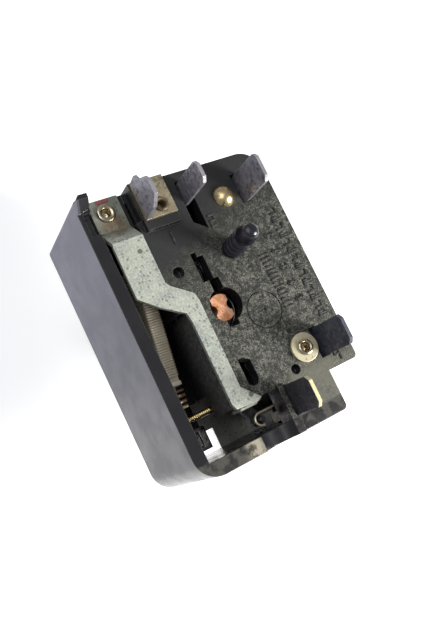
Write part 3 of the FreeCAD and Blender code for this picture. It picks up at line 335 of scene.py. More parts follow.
@dataclass(frozen=True)
class Plated(Finish):
    """Plated, drawn or turned metal: tarnish in patches, specks, scratches and bright worn edges."""

    clean: Colour
    tarnish: Colour
    speck: Colour
    edge: Colour
    rough: tuple[float, float] = (0.28, 0.55)
    patch_scale: float = 320.0
    patch_level: float = 0.52
    speck_share: float = 0.25
    speck_scale: float = 1400.0
    scratch: float = 0.35
    wear: float = 0.8
    bump: float = 0.25
    metallic: float = 1.0

    def dress(self, graph: Graph) -> None:
        """Sets colour, roughness and bump from the shared effects."""
        patches = BLOTCHES.use(graph, Scale=self.patch_scale, Level=self.patch_level, Softness=0.11)
        specks = SPECKS.use(graph, Scale=self.speck_scale, Share=self.speck_share, Size=0.42)
        lines = SCRATCHES.use(graph, Amount=self.scratch, Scale=1300.0)
        edges = EDGE_WEAR.use(graph, Amount=self.wear, Width=0.0002)
        colour = graph.mix(patches, self.clean, self.tarnish)
        colour = graph.mix(specks, colour, self.speck)
        bright = graph.most(lines, edges)
        graph.surface(Base_Color=graph.mix(bright, colour, self.edge))
        dull = graph.most(patches, specks)
        rough = graph.vary(graph.less(dull, graph.times(bright, 0.6)), *self.rough)
        graph.surface(Roughness=rough, Metallic=self.metallic)
        grain = GRAIN.use(graph, Scale=1700.0, Granules=0.6)
        height = graph.less(grain, graph.times(specks, 0.5))
        graph.soften(height, self.bump, 0.00008, 0.00014)


@dataclass(frozen=True)
class Phenolic(Finish):
    """Dark moulded phenolic: glossy outside, dusty and flecked on the terminal face, black in its hollows, with
    painted shade on the deck and inner wall and a painted reflection on the left wall.
    """

    gloss: Colour = (0.012, 0.012, 0.014)
    face: Colour = (0.010, 0.011, 0.008)
    fleck: Colour = (0.205, 0.205, 0.170)
    smooth_face: Colour = (0.120, 0.117, 0.088)
    rim_dust: Colour = (0.046, 0.041, 0.031)
    worn: Colour = (0.400, 0.360, 0.270)
    left_wall_reflection: Colour = (0.135, 0.135, 0.180)
    inner_dust_and_shade: Colour = (0.155, 0.155, 0.150)
    face_low: float = 25.2

    def flecks(self, graph: Graph, x: Socket, y: Socket) -> Socket:
        """Returns the mask of light flecks, thickest toward the near and right parts of the face."""
        fine = FLECKS.use(graph, Scale=2100.0, Level=0.50)
        small = FLECKS.use(graph, Scale=3000.0, Level=0.53)
        cloud = BLOTCHES.use(graph, Scale=90.0, Level=0.42, Softness=0.22)
        near = graph.spread(graph.less(graph.times(x, 0.6), y), -0.019, 0.003, 0.10, 1.0)
        share = graph.times(near, graph.vary(cloud, 0.70, 1.0))
        both = graph.plus(fine, graph.times(small, 0.5), clamp=True)
        return graph.times(both, share)

    def dress(self, graph: Graph) -> None:
        """Sets colour and gloss by place: outer walls, rims, terminal face, inner walls; shade and a reflection
        are painted in.
        """
        x, y, z = graph.axes()
        up = graph.spread(graph.facing_up(), 0.5, 0.9)
        face = graph.times(up, graph.spread(z, (self.face_low - 0.5) * MM, self.face_low * MM))
        rims = graph.most(graph.spread(y, -0.0256, -0.0264), graph.spread(x, -0.0178, -0.0182))
        rims = graph.times(rims, face)
        deck = graph.less(face, rims, clamp=True)
        flecks = self.flecks(graph, x, y)
        face_colour = graph.mix(flecks, self.face, self.fleck)
        corner = graph.times(graph.spread(x, 0.004, 0.0070), graph.spread(y, -0.0160, -0.0195))
        cloud = BLOTCHES.use(graph, Scale=300.0, Level=0.48, Softness=0.15)
        smooth = graph.times(corner, graph.vary(cloud, 0.45, 0.95))
        face_colour = graph.mix(smooth, face_colour, self.smooth_face)
        colour = graph.mix(deck, self.gloss, face_colour)
        near_rim = graph.times(rims, graph.spread(y, -0.0256, -0.0264))
        haze = BLOTCHES.use(graph, Scale=480.0, Level=0.50, Softness=0.12)
        flat = graph.spread(graph.facing_up(), 0.93, 0.99)
        dusty_rim = graph.times(graph.times(near_rim, flat), graph.vary(haze, 0.15, 0.9))
        colour = graph.mix(dusty_rim, colour, self.rim_dust)
        # Painted shadow: a darker band on the deck between the first two blades.
        shadow = graph.spread(graph.less(y, graph.times(x, 0.45)), 0.0135, 0.0165)
        colour = graph.mix(graph.times(shadow, graph.times(deck, 0.85)), colour, self.gloss)
        patch = graph.times(graph.spread(x, -0.0112, -0.0085), graph.spread(x, -0.0052, -0.0075))
        colour = graph.mix(graph.times(graph.times(patch, dusty_rim), 0.8), colour, self.worn)
        # Grey dust on the trough's inner wall, partly painted shade: it fades darker towards the bottom, where
        # less light reaches.
        inner = graph.times(graph.spread(x, -0.0088, -0.0084), graph.spread(x, -0.0070, -0.0080))
        wall = graph.times(inner, graph.spread(z, 0.0120, 0.0240))
        wall = graph.times(wall, graph.less(1.0, up))
        dust = graph.times(wall, graph.plus(0.25, flecks, clamp=True))
        colour = graph.mix(dust, colour, self.inner_dust_and_shade)
        # Painted reflection: the left wall gets a lilac grey that brightens towards the far end, standing in
        # for the pale floor that it reflects.
        left = graph.times(graph.spread(x, -0.0203, -0.0208), graph.less(1.0, up))
        tone = graph.times(left, graph.spread(y, -0.030, 0.028, 0.18, 1.0))
        colour = graph.mix(tone, colour, self.left_wall_reflection)
        edges = EDGE_WEAR.use(graph, Width=0.00030, Amount=0.30)
        colour = graph.mix(edges, colour, (0.14, 0.135, 0.12))
        graph.surface(Base_Color=colour)
        smudge = BLOTCHES.use(graph, Scale=150.0, Level=0.5, Softness=0.2)
        dull = graph.most(deck, graph.most(wall, dusty_rim))
        dull = graph.most(dull, graph.times(left, 0.35))
        rough = graph.plus(graph.vary(smudge, 0.16, 0.28), graph.times(dull, 0.42))
        graph.surface(Roughness=rough, IOR=1.46)
        grain = GRAIN.use(graph, Scale=1500.0, Granules=0.5)
        rise = graph.plus(graph.times(flecks, 1.2), graph.times(grain, 0.7))
        height = graph.times(rise, graph.plus(graph.times(deck, 0.9), 0.05))
        graph.soften(height, 0.55, 0.00012, 0.00030)


@dataclass(frozen=True)
class ZincStrap(Finish):
    """Greenish zinc plate with dark specks; its end round the eyelet is painted darker as shade, with a brown
    stain below the eyelet.
    """

    bright: Colour = (0.40, 0.42, 0.355)
    shade: Colour = (0.27, 0.29, 0.265)
    shaded_pad: Colour = (0.20, 0.21, 0.17)
    stain: Colour = (0.16, 0.10, 0.05)
    speck: Colour = (0.09, 0.10, 0.09)
    pad_from: float = 20.0
    stain_at: Point = (-13.4, 22.9, 23.0)

    def dress(self, graph: Graph) -> None:
        """Sets colour by place, with painted shade on the eyelet end and specks over it."""
        place = graph.axes()[1]
        patches = BLOTCHES.use(graph, Scale=210.0, Level=0.52, Softness=0.15)
        frost = BLOTCHES.use(graph, Scale=2600.0, Level=0.53, Softness=0.10)
        colour = graph.mix(patches, self.bright, self.shade)
        colour = graph.mix(graph.times(frost, 0.45), colour, (0.68, 0.71, 0.62))
        # Painted shade: the strap's end past pad_from is darkened, unevenly; the same mask makes it rougher.
        shaded_pad = graph.spread(place, self.pad_from * MM, (self.pad_from + 2.4) * MM)
        uneven = graph.times(shaded_pad, graph.vary(patches, 0.70, 1.0))
        colour = graph.mix(uneven, colour, self.shaded_pad)
        centre = tuple(value * MM for value in self.stain_at)
        away = graph.add("VectorMath", {0: graph.place(), 1: centre}, operation="DISTANCE").outputs["Value"]
        rust = BLOTCHES.use(graph, Scale=700.0, Level=0.46, Softness=0.14)
        rust = graph.times(graph.spread(away, 0.0042, 0.0012), rust)
        colour = graph.mix(graph.times(rust, 0.85), colour, self.stain)
        fine = SPECKS.use(graph, Scale=1350.0, Share=0.40, Size=0.48)
        large = SPECKS.use(graph, Scale=480.0, Share=0.20, Size=0.34)
        specks = graph.most(graph.times(fine, 0.62), graph.times(large, 0.9))
        colour = graph.mix(specks, colour, self.speck)
        graph.surface(Base_Color=colour, Metallic=0.35)
        dull = graph.most(specks, shaded_pad)
        graph.surface(Roughness=graph.vary(dull, 0.46, 0.62))
        grain = GRAIN.use(graph, Scale=1500.0, Granules=0.7)
        height = graph.less(grain, graph.times(specks, 0.9))
        graph.soften(height, 0.30, 0.00010, 0.00018)


@dataclass(frozen=True)
class Tab(Finish):
    """Tinned blade: mottled sides, scratches along it, and a cut top end of its own colour."""

    light: Colour = (0.34, 0.33, 0.38)
    dark: Colour = (0.095, 0.095, 0.12)
    top: Colour = (0.30, 0.29, 0.32)
    base: Colour = (0.30, 0.27, 0.22)
    base_low: Colour = (0.14, 0.12, 0.09)
    base_high: float = 20.5
    level: float = 0.5
    metallic: float = 0.55

    def dress(self, graph: Graph) -> None:
        """Sets colour from mottling, height and the way the surface faces."""
        z = graph.axes()[2]
        mottle = BLOTCHES.use(graph, Scale=900.0, Level=self.level, Softness=0.12)
        broad = BLOTCHES.use(graph, Scale=240.0, Level=0.5, Softness=0.18)
        mottle = graph.times(mottle, graph.vary(broad, 0.55, 1.0))
        colour = graph.mix(mottle, self.light, self.dark)
        lines = SCRATCHES.use(graph, Amount=0.45, Scale=1100.0, Width=0.025)
        colour = graph.mix(lines, colour, self.light)
        end = graph.times(graph.spread(graph.facing_up(), 0.5, 0.8), graph.spread(z, 0.0330, 0.0345))
        colour = graph.mix(end, colour, self.top)
        foot = graph.spread(z, (self.base_high + 0.6) * MM, self.base_high * MM)
        folds = FLECKS.use(graph, Scale=620.0, Level=0.5)
        stain = graph.most(graph.times(folds, 0.8), graph.times(broad, 0.55))
        colour = graph.mix(foot, colour, graph.mix(stain, self.base, self.base_low))
        edges = EDGE_WEAR.use(graph, Width=0.00018, Amount=0.6)
        graph.surface(Base_Color=graph.mix(edges, colour, (0.55, 0.53, 0.50)))
        graph.surface(Roughness=graph.vary(mottle, 0.38, 0.62), Metallic=self.metallic)
        grain = GRAIN.use(graph, Scale=1300.0, Granules=0.8)
        height = graph.less(grain, graph.times(lines, 0.5))
        graph.soften(height, 0.42, 0.00012, 0.00014)


@dataclass(frozen=True)
class CopperedShaft(Finish):
    """Ground steel shaft whose inner end has a mottled copper flash."""

    steel: Colour = (0.38, 0.38, 0.39)
    copper: Colour = (0.86, 0.36, 0.17)
    pale: Colour = (0.95, 0.58, 0.38)
    stain: Colour = (0.45, 0.12, 0.06)
    copper_from: float = 15.0

    def dress(self, graph: Graph) -> None:
        """Sets copper above copper_from and steel with turning rings below it."""
        z = graph.axes()[2]
        flash = graph.spread(z, self.copper_from * MM, (self.copper_from + 1.5) * MM)
        cloud = BLOTCHES.use(graph, Scale=700.0, Level=0.5, Softness=0.12)
        spots = BLOTCHES.use(graph, Scale=1500.0, Level=0.60, Softness=0.06)
        copper = graph.mix(cloud, self.copper, self.pale)
        copper = graph.mix(graph.times(spots, 0.6), copper, self.stain)
        rings = graph.add("TexWave",
                          {"Vector": graph.place(), "Scale": 900.0, "Distortion": 1.2, "Detail": 2.0},
                          bands_direction="Z").outputs["Fac"]
        steel = graph.mix(graph.times(rings, 0.35), self.steel, (0.34, 0.34, 0.36))
        graph.surface(Base_Color=graph.mix(flash, steel, copper), Metallic=0.85)
        uneven = graph.plus(graph.vary(cloud, 0.0, 0.14), graph.times(flash, 0.16))
        graph.surface(Roughness=graph.plus(uneven, 0.26))
        height = graph.plus(rings, graph.times(spots, 2.0))
        graph.soften(height, 0.16, 0.00006, 0.00016)


@dataclass(frozen=True)
class HeatStained(Finish):
    """Bimetal strip: bronze brown, with straw and violet tints toward its heated middle."""

    bronze: Colour = (0.36, 0.22, 0.12)
    straw: Colour = (0.52, 0.40, 0.20)
    violet: Colour = (0.22, 0.15, 0.20)
    heated: tuple[float, float] = (-16.0, 6.0)

    def dress(self, graph: Graph) -> None:
        """Sets the tints along Y."""
        y = graph.axes()[1]
        low, high = (value * MM for value in self.heated)
        hot = graph.spread(y, low, high)
        uneven = BLOTCHES.use(graph, Scale=380.0, Level=0.5, Softness=0.18)
        tint = graph.mix(uneven, self.straw, self.violet)
        colour = graph.mix(graph.times(hot, 0.7), self.bronze, tint)
        lines = SCRATCHES.use(graph, Amount=0.5, Scale=1500.0, Width=0.03)
        edges = EDGE_WEAR.use(graph, Width=0.00018, Amount=0.7)
        bright = graph.most(lines, edges)
        graph.surface(Base_Color=graph.mix(bright, colour, (0.70, 0.55, 0.34)))
        graph.surface(Roughness=graph.vary(uneven, 0.30, 0.48), Metallic=1.0)
        graph.soften(GRAIN.use(graph, Scale=1600.0, Granules=0.4), 0.2, 0.00006, 0.00012)


@dataclass(frozen=True)
class Woven(Finish):
    """Woven glass sleeve browned by heat in patches, and browner on its side away from the wall; the weave runs
    on the slant.
    """

    pale: Colour = (0.52, 0.46, 0.36)
    brown: Colour = (0.26, 0.18, 0.11)
    thread: float = 0.34
    slant: float = 32.0
    rough: float = 0.62
    sheen: float = 0.25
    brown_side_from: float = -13.2

    def dress(self, graph: Graph) -> None:
        """Sets crossing threads as height and as painted shade in their gaps, browner on the side away from the
        wall.
        """
        turn = math.radians(self.slant)
        waves = []
        for side in (-1.0, 1.0):
            turned = graph.add("Mapping",
                               {"Vector": graph.place(), "Rotation": (side * turn, 0.0, 0.12)}).outputs[0]
            names = {"Vector": turned, "Scale": 0.31 / (self.thread * MM), "Distortion": 0.35, "Detail": 1.0}
            waves.append(graph.add("TexWave", names, bands_direction="Y").outputs["Fac"])
        weave = graph.most(*waves)
        x = graph.axes()[0]
        browned = BLOTCHES.use(graph, Scale=260.0, Level=0.5, Softness=0.2)
        # Browner on the side away from the wall, from a given x on.
        side = graph.spread(x, self.brown_side_from * MM, (self.brown_side_from + 1.6) * MM)
        share = graph.most(graph.times(browned, 0.55), graph.times(side, 0.8))
        colour = graph.mix(share, self.pale, self.brown)
        # Painted shade: the gaps between threads are darkened where the weave is low.
        gap_shade = graph.spread(weave, 0.65, 0.15, 0.0, 0.6)
        graph.surface(Base_Color=graph.mix(gap_shade, colour, (0.10, 0.07, 0.045)), Roughness=self.rough)
        graph.surface(Sheen_Weight=self.sheen)
        graph.soften(weave, 0.6, 0.00010, 0.00025)


@dataclass(frozen=True)
class WoundRibbon(Finish):
    """Heater ribbon: pale straw, brown where it faces up or away from the wall."""

    pale: Colour = (0.66, 0.60, 0.47)
    brown: Colour = (0.23, 0.16, 0.10)
    glint: Colour = (0.90, 0.86, 0.74)

    def dress(self, graph: Graph) -> None:
        """Sets a brown tint by the way the ribbon faces, with uneven stains."""
        normal = graph.add("SeparateXYZ", {0: graph.add("NewGeometry").outputs["Normal"]})
        # A brown tint on faces that look up or away from the wall.
        away = graph.spread(graph.plus(normal.outputs["X"], graph.times(normal.outputs["Z"], 0.4)), 0.1, 0.9)
        stains = BLOTCHES.use(graph, Scale=420.0, Level=0.5, Softness=0.16)
        share = graph.plus(graph.times(away, 0.75), graph.times(stains, 0.3), clamp=True)
        colour = graph.mix(share, self.pale, self.brown)
        frays = SPECKS.use(graph, Scale=1900.0, Share=0.18, Size=0.4)
        graph.surface(Base_Color=graph.mix(frays, colour, self.glint), Metallic=0.25)
        graph.surface(Roughness=graph.vary(stains, 0.38, 0.58))
        graph.soften(GRAIN.use(graph, Scale=2600.0, Granules=0.6), 0.4, 0.00008, 0.00010)


@dataclass(frozen=True)
class MouldedMark(Finish):
    """Black raised mark that stands clear of the dust round it."""

    hue: Colour = (0.010, 0.010, 0.009)
    scuff: Colour = (0.12, 0.12, 0.105)

    def dress(self, graph: Graph) -> None:
        """Sets black with scuffed edges."""
        edges = EDGE_WEAR.use(graph, Width=0.00016, Amount=0.8)
        haze = BLOTCHES.use(graph, Scale=900.0, Level=0.55, Softness=0.12)
        share = graph.most(edges, graph.times(haze, 0.35))
        graph.surface(Base_Color=graph.mix(share, self.hue, self.scuff), Roughness=0.5)
        graph.soften(GRAIN.use(graph, Scale=2200.0, Granules=0.6), 0.4, 0.00010, 0.00012)


@dataclass(frozen=True)
class Moulded(Finish):
    """Plain moulded plastic or paint: one hue with slight clouding, fine grain and its own gloss."""

    hue: Colour
    cloud: Colour
    rough: tuple[float, float] = (0.16, 0.34)
    bump: float = 0.12
    coat: float = 0.0
    dust: float = 0.2
    dust_hue: Colour = (0.20, 0.19, 0.17)

    def dress(self, graph: Graph) -> None:
        """Sets the clouded hue with dust on what faces up."""
        cloud = BLOTCHES.use(graph, Scale=340.0, Level=0.5, Softness=0.2)
        dust = DUST.use(graph, Scale=650.0, Amount=self.dust)
        colour = graph.mix(dust, graph.mix(cloud, self.hue, self.cloud), self.dust_hue)
        graph.surface(Base_Color=colour)
        rough = graph.plus(graph.vary(cloud, *self.rough), graph.times(dust, 0.4))
        graph.surface(Roughness=rough, Coat_Weight=self.coat)
        graph.soften(GRAIN.use(graph, Scale=1500.0, Granules=0.5), self.bump, 0.00008, 0.00018)


@dataclass(frozen=True)
class Ground(Finish):
    """Pale plain floor with a trace of tone in it."""

    hue: Colour = (0.86, 0.86, 0.86)
    glow: float = 0.38

    def dress(self, graph: Graph) -> None:
        """Sets a near white with a slight unevenness."""
        cloud = BLOTCHES.use(graph, Scale=9.0, Level=0.5, Softness=0.3)
        graph.surface(Base_Color=graph.mix(cloud, self.hue, (0.84, 0.84, 0.845)), Roughness=0.9)
        graph.surface(Specular_IOR_Level=0.1, Emission_Color=(0.95, 0.96, 1.0), Emission_Strength=self.glow)


PHENOLIC = Phenolic("phenolic")
MARKS = MouldedMark("moulded_mark")
ZINC_STRAP = ZincStrap("zinc_strap")
TINNED_TAB = Tab("tinned_tab")
TAN_TAB = Tab("tan_plated_tab", base=(0.42, 0.37, 0.24), base_low=(0.16, 0.12, 0.06), base_high=27.7,
              level=0.54)
DARK_TAB = Tab("dark_tab", light=(0.085, 0.09, 0.125), dark=(0.026, 0.028, 0.045), top=(0.07, 0.075, 0.10),
               level=0.47, metallic=0.3)
BRASS_TIP_TAB = Tab("brass_tipped_tab", light=(0.060, 0.056, 0.066), dark=(0.020, 0.020, 0.028),
                    top=(0.62, 0.58, 0.33), level=0.47, metallic=0.3)
SHAFT = CopperedShaft("coppered_shaft")
BIMETAL = HeatStained("heat_stained_bimetal")
SLEEVE = Woven("woven_sleeve")
RIBBON = WoundRibbon("resistance_ribbon")
END_BAND = Moulded("fibre_band", (0.72, 0.68, 0.56), (0.52, 0.46, 0.34), rough=(0.45, 0.6), bump=0.4)
LEAD = Plated("browned_lead", (0.19, 0.125, 0.07), (0.09, 0.06, 0.035), (0.60, 0.56, 0.46), (0.42, 0.32, 0.18),
              rough=(0.30, 0.5), speck_scale=1100.0, metallic=0.55)
BRASS = Plated("turned_brass", (0.74, 0.56, 0.26), (0.50, 0.36, 0.15), (0.30, 0.20, 0.09), (0.92, 0.80, 0.46),
               rough=(0.20, 0.42), patch_level=0.58)
DOME_BRASS = Plated("polished_brass", (0.62, 0.50, 0.28), (0.44, 0.33, 0.17), (0.30, 0.22, 0.11),
                    (0.80, 0.70, 0.46),
                    rough=(0.27, 0.38), speck_share=0.06, scratch=0.12, patch_level=0.60, bump=0.06, wear=0.3)
NICKEL = Plated("nickel_eyelet", (0.56, 0.49, 0.36), (0.34, 0.27, 0.18), (0.16, 0.11, 0.07), (0.86, 0.80, 0.66),
                rough=(0.18, 0.38), patch_level=0.54)
BROWNED = Plated("browned_eyelet", (0.15, 0.11, 0.055), (0.07, 0.05, 0.025), (0.04, 0.03, 0.02),
                 (0.26, 0.21, 0.12), rough=(0.45, 0.65), patch_level=0.48, metallic=0.35)
STRAW = Plated("straw_washer", (0.60, 0.55, 0.38), (0.42, 0.37, 0.24), (0.24, 0.20, 0.13), (0.80, 0.76, 0.58),
               rough=(0.38, 0.55), metallic=0.4, patch_level=0.54)
STRAW_WIRE = Plated("straw_wire", (0.88, 0.80, 0.58), (0.70, 0.60, 0.40), (0.40, 0.32, 0.2), (0.98, 0.92, 0.74),
                    rough=(0.22, 0.34), metallic=0.6, speck_share=0.1)
BRIGHT_STEEL = Plated("bright_steel", (0.62, 0.63, 0.62), (0.40, 0.40, 0.38), (0.20, 0.20, 0.19),
                      (0.90, 0.90, 0.88), rough=(0.16, 0.36))
DULL_CHROME = Plated("dull_chrome", (0.30, 0.30, 0.30), (0.12, 0.12, 0.11), (0.05, 0.05, 0.05),
                     (0.75, 0.75, 0.74), rough=(0.14, 0.30), patch_level=0.48)
DARK_STEEL = Plated("dark_steel", (0.10, 0.10, 0.10), (0.05, 0.05, 0.05), (0.03, 0.03, 0.03),
                      (0.30, 0.30, 0.29), rough=(0.30, 0.5))
PLATE_STEEL = Plated("plated_steel", (0.58, 0.58, 0.55), (0.44, 0.44, 0.40), (0.26, 0.25, 0.22),
                     (0.80, 0.80, 0.76), rough=(0.30, 0.48), patch_scale=120.0, scratch=0.5)
SILVER = Plated("contact_silver", (0.86, 0.86, 0.84), (0.62, 0.61, 0.58), (0.30, 0.28, 0.25),
                (0.96, 0.96, 0.95), rough=(0.18, 0.34), speck_share=0.12)
BRONZE = Plated("phosphor_bronze", (0.70, 0.46, 0.28), (0.50, 0.30, 0.17), (0.28, 0.16, 0.09),
                (0.90, 0.70, 0.48), rough=(0.24, 0.42))
NYLON = Moulded("black_nylon", (0.004, 0.004, 0.009), (0.008, 0.008, 0.017), rough=(0.20, 0.34), coat=0.1,
                dust=0.03)
CAM_PLASTIC = Moulded("natural_plastic", (0.60, 0.56, 0.45), (0.52, 0.47, 0.36), rough=(0.36, 0.5))
RED_PAINT = Moulded("red_paint", (0.36, 0.06, 0.05), (0.24, 0.07, 0.05), rough=(0.3, 0.5), bump=0.5, dust=0.5)


# Modelling by hand tools
class Axis(Enum):
    """Way a turned piece points."""

    UP = Matrix.Identity(3)
    ALONG_X = Matrix(((0.0, 0.0, 1.0), (0.0, 1.0, 0.0), (-1.0, 0.0, 0.0)))


class Bench:
    """Hand-tool steps that the sub-assemblies share."""

    @staticmethod
    def clear() -> None:
        """Leaves edit mode and deselects everything."""
        if bpy.context.object is not None and bpy.context.object.mode != "OBJECT":
            bpy.ops.object.mode_set(mode="OBJECT")
        bpy.ops.object.select_all(action="DESELECT")

    @staticmethod
    def block(name: str, low: Point, high: Point) -> Piece:
        """Adds a box primitive between two corners in millimetres and applies its size."""
        Bench.clear()
        centre = [(a + b) / 2 * MM for a, b in zip(low, high)]
        bpy.ops.mesh.primitive_cube_add(size=1.0, location=centre)
        made = bpy.context.object
        made.name = made.data.name = name
        made.scale = [(b - a) * MM for a, b in zip(low, high)]
        bpy.ops.object.transform_apply(location=True, rotation=True, scale=True)
        return made

    @staticmethod
    def active(made: Piece) -> None:
        """Selects one object by itself and makes it the active one."""
        Bench.clear()
        made.select_set(True)
        bpy.context.view_layer.objects.active = made

    @staticmethod
    def pick(made: Piece, test: Callable[[Vector, Vector], bool], mode: str = "FACE") -> None:
        """Selects faces or edges by their centre and way, and leaves the object in edit mode.

        Args:
            made: the object to select in.
            test: given the centre in millimetres and a face's normal or an edge's direction, says yes or no.
            mode: FACE or EDGE.
        """
        bpy.context.view_layer.objects.active = made
        bpy.ops.object.mode_set(mode="EDIT")
        bpy.ops.mesh.select_mode(type=mode)
        bpy.ops.mesh.select_all(action="DESELECT")
        bpy.ops.object.mode_set(mode="OBJECT")
        mesh = made.data
        if mode == "FACE":
            for item in mesh.polygons:
                item.select = test(item.center / MM, item.normal)
        else:
            for item in mesh.edges:
                a, b = (mesh.vertices[i].co for i in item.vertices)
                item.select = test((a + b) / 2 / MM, (b - a).normalized())
        bpy.ops.object.mode_set(mode="EDIT")

    @staticmethod
    def extrude(*steps: Point) -> None:
        """Extrudes the selected faces by each step in millimetres."""
        for step in steps:
            bpy.ops.mesh.extrude_region_move(TRANSFORM_OT_translate={"value": tuple(v * MM for v in step)})

    @staticmethod
    def turned(name: str, rings: Sequence[tuple[float, float]], sides: int, at: Point,
               axis: Axis = Axis.UP) -> Piece:
        """Turns a closed piece from rings of (radius, height), each extruded and scaled from the last.

        Args:
            name: the piece's name.
            rings: radius and height of each ring in millimetres, from the foot on.
            sides: points round each ring.
            at: the foot's centre in millimetres.
            axis: the way the piece points.

        Returns:
            The closed piece.
        """
        Bench.clear()
        radius, height = rings[0]
        bpy.ops.mesh.primitive_circle_add(vertices=sides, radius=radius * MM, fill_type="NGON",
                                          location=(0, 0, height * MM))
        made = bpy.context.object
        made.name = made.data.name = name
        bpy.ops.object.transform_apply(location=True)
        bpy.ops.object.mode_set(mode="EDIT")
        bpy.ops.mesh.select_mode(type="FACE")
        bpy.ops.mesh.select_all(action="SELECT")
        for wide, tall in rings[1:]:
            Bench.extrude((0.0, 0.0, tall - height))
            share = wide / radius
            bpy.ops.transform.resize(value=(share, share, 1.0), center_override=(0.0, 0.0, tall * MM))
            radius, height = wide, tall
        bpy.ops.mesh.select_mode(type="EDGE")
        bpy.ops.mesh.select_all(action="DESELECT")
        bpy.ops.mesh.select_non_manifold()
        bpy.ops.mesh.edge_face_add()
        bpy.ops.mesh.select_all(action="SELECT")
        bpy.ops.mesh.normals_make_consistent(inside=False)
        bpy.ops.object.mode_set(mode="OBJECT")
        made.data.transform(axis.value.to_4x4())
        made.data.transform(Matrix.Translation(Vector(at) * MM))
        return made

    @staticmethod
    def middle(node: str) -> Point:
        """Returns the centre in plan of a CAD node's box, in millimetres."""
        low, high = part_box(node)
        return (low.x + high.x) / 2 / MM, (low.y + high.y) / 2 / MM, 0.0

    @staticmethod
    def modifier(made: Piece, kind: str, **settings: Any) -> None:
        """Adds a modifier and applies it."""
        Bench.active(made)
        added = made.modifiers.new(kind.lower(), kind)
        for name, value in settings.items():
            setattr(added, name, value)
        bpy.ops.object.modifier_apply(modifier=added.name)

    @staticmethod
    def copy(made: Piece, change: Matrix) -> Piece:
        """Returns a copy of made with its own mesh, changed by a matrix in metres."""
        double = made.copy()
        double.data = made.data.copy()
        bpy.context.scene.collection.objects.link(double)
        double.data.transform(change)
        return double

    @staticmethod
    def join(name: str, pieces: Sequence[Piece]) -> Piece:
        """Joins pieces into one object of that name."""
        Bench.clear()
        for piece in pieces:
            piece.select_set(True)
        bpy.context.view_layer.objects.active = pieces[0]
        if len(pieces) > 1:
            bpy.ops.object.join()
        made = bpy.context.object
        made.name = made.data.name = name
        return made

    @staticmethod
    def smooth(made: Piece, degrees: float = 40.0) -> None:
        """Shades smooth across edges flatter than an angle."""
        Bench.active(made)
        bpy.ops.object.shade_smooth_by_angle(angle=math.radians(degrees))


def paint(target: Piece, finish: Finish) -> None:
    """Gives every slot of an object one finish."""
    material = finish.material()
    if not target.data.materials:
        target.data.materials.append(material)
    for index in range(len(target.data.materials)):
        target.data.materials[index] = material


@dataclass
class SubAssembly:
    """A group of pieces with the CAD nodes that it dresses."""

    nodes: dict[str, Any]

    def dress_nodes(self, **finishes: Finish) -> None:
        """Gives each CAD node that stays its finish, by the node's name."""
        for name, finish in finishes.items():
            paint(self.nodes[name], finish)
            LOG.info("dressed %s with %s", name, finish.name)

    def settle(self, piece: Piece, finish: Finish, body: str, slot: str, *stands_for: str) -> None:
        """Finishes a new piece.

        Args:
            piece: the piece, in place.
            finish: its finish.
            body: the CAD body it rides on.
            slot: a material slot's name; not used.
            stands_for: the CAD nodes that it replaces.
        """
        paint(piece, finish)
        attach(piece, body)
        if stands_for:
            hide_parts(*stands_for)
        LOG.info("built %s, %d faces, on %s", piece.name, len(piece.data.polygons), body)

    def build(self) -> None:
        """Builds the new pieces and dresses the CAD nodes. Each sub-assembly has its own."""
        raise NotImplementedError


# Sub-assemblies
@dataclass
class Case(SubAssembly):
    """Housing with its generic raised bars, front plate and panel-side fixings."""

    row_x: tuple[float, ...] = (13.1, 16.3, 19.9)
    row_y: tuple[tuple[float, float], ...] = ((-4.9, 9.5), (-4.6, 15.2), (-9.4, 18.2))
    cell: float = 1.85
    bar_wide: float = 0.42
    bar_high: float = 0.22
    tall: float = 2.3

    def bar(self, long: float) -> Piece:
        """Returns one raised bar along X with its top edges rounded."""
        wide = self.bar_wide / 2
        made = Bench.block("bar", (-long / 2, -wide, -0.05), (long / 2, wide, self.bar_high))
        Bench.pick(made, lambda centre, way: centre.z > self.bar_high - 0.02, "EDGE")
        bpy.ops.mesh.bevel(offset=0.08 * MM, segments=2)
        Bench.clear()
        return made

    def raised_rows(self) -> Piece:
        """Returns rows of plain raised bars where the case carries its moulded block of marks."""
        full = self.bar(self.tall)
        half = self.bar(self.tall * 0.45)
        straight, turned = Matrix.Identity(4), Matrix.Rotation(math.pi / 2, 4, "Z")
        kinds = (
            ((full, 0.0, -0.45, False), (full, 0.0, 0.45, False)),
            ((full, 0.0, -0.45, False), (half, 0.6, 0.2, True)),
            ((full, 0.0, 0.0, False), (half, -0.6, 0.0, True), (half, 0.6, 0.0, True)),
            ((half, -0.55, -0.4, False), (full, 0.0, 0.45, False)),
            ((full, 0.0, -0.45, False), (full, 0.0, 0.0, False), (half, -0.5, 0.45, False)),
        )
        made = []
        for row, (x, (low, high)) in enumerate(zip(self.row_x, self.row_y)):
            for step in range(int((high - low) / self.cell)):
                kind = (step * 3 + row * 2) % 6
                if kind == len(kinds):
                    continue
                for source, dx, dy, across in kinds[kind]:
                    at = Vector((x + dx, low + step * self.cell + dy, FACE_Z)) * MM
                    made.append(Bench.copy(source, Matrix.Translation(at) @ (turned if across else straight)))
        bpy.data.objects.remove(full)
        bpy.data.objects.remove(half)
        return Bench.join("raised_bar_rows", made)

    def build(self) -> None:
        """Dresses the case and adds the raised bars."""
        self.dress_nodes(housing=PHENOLIC, terminal_numbers=MARKS, front_plate=PLATE_STEEL,
                         plate_rivets=BRIGHT_STEEL, shaft_bushing=BRASS, follower_pin=BRIGHT_STEEL,
                         line_pin=BRIGHT_STEEL)
        rows = self.raised_rows()
        Bench.smooth(rows)
        self.settle(rows, MARKS, "case", "phenolic")


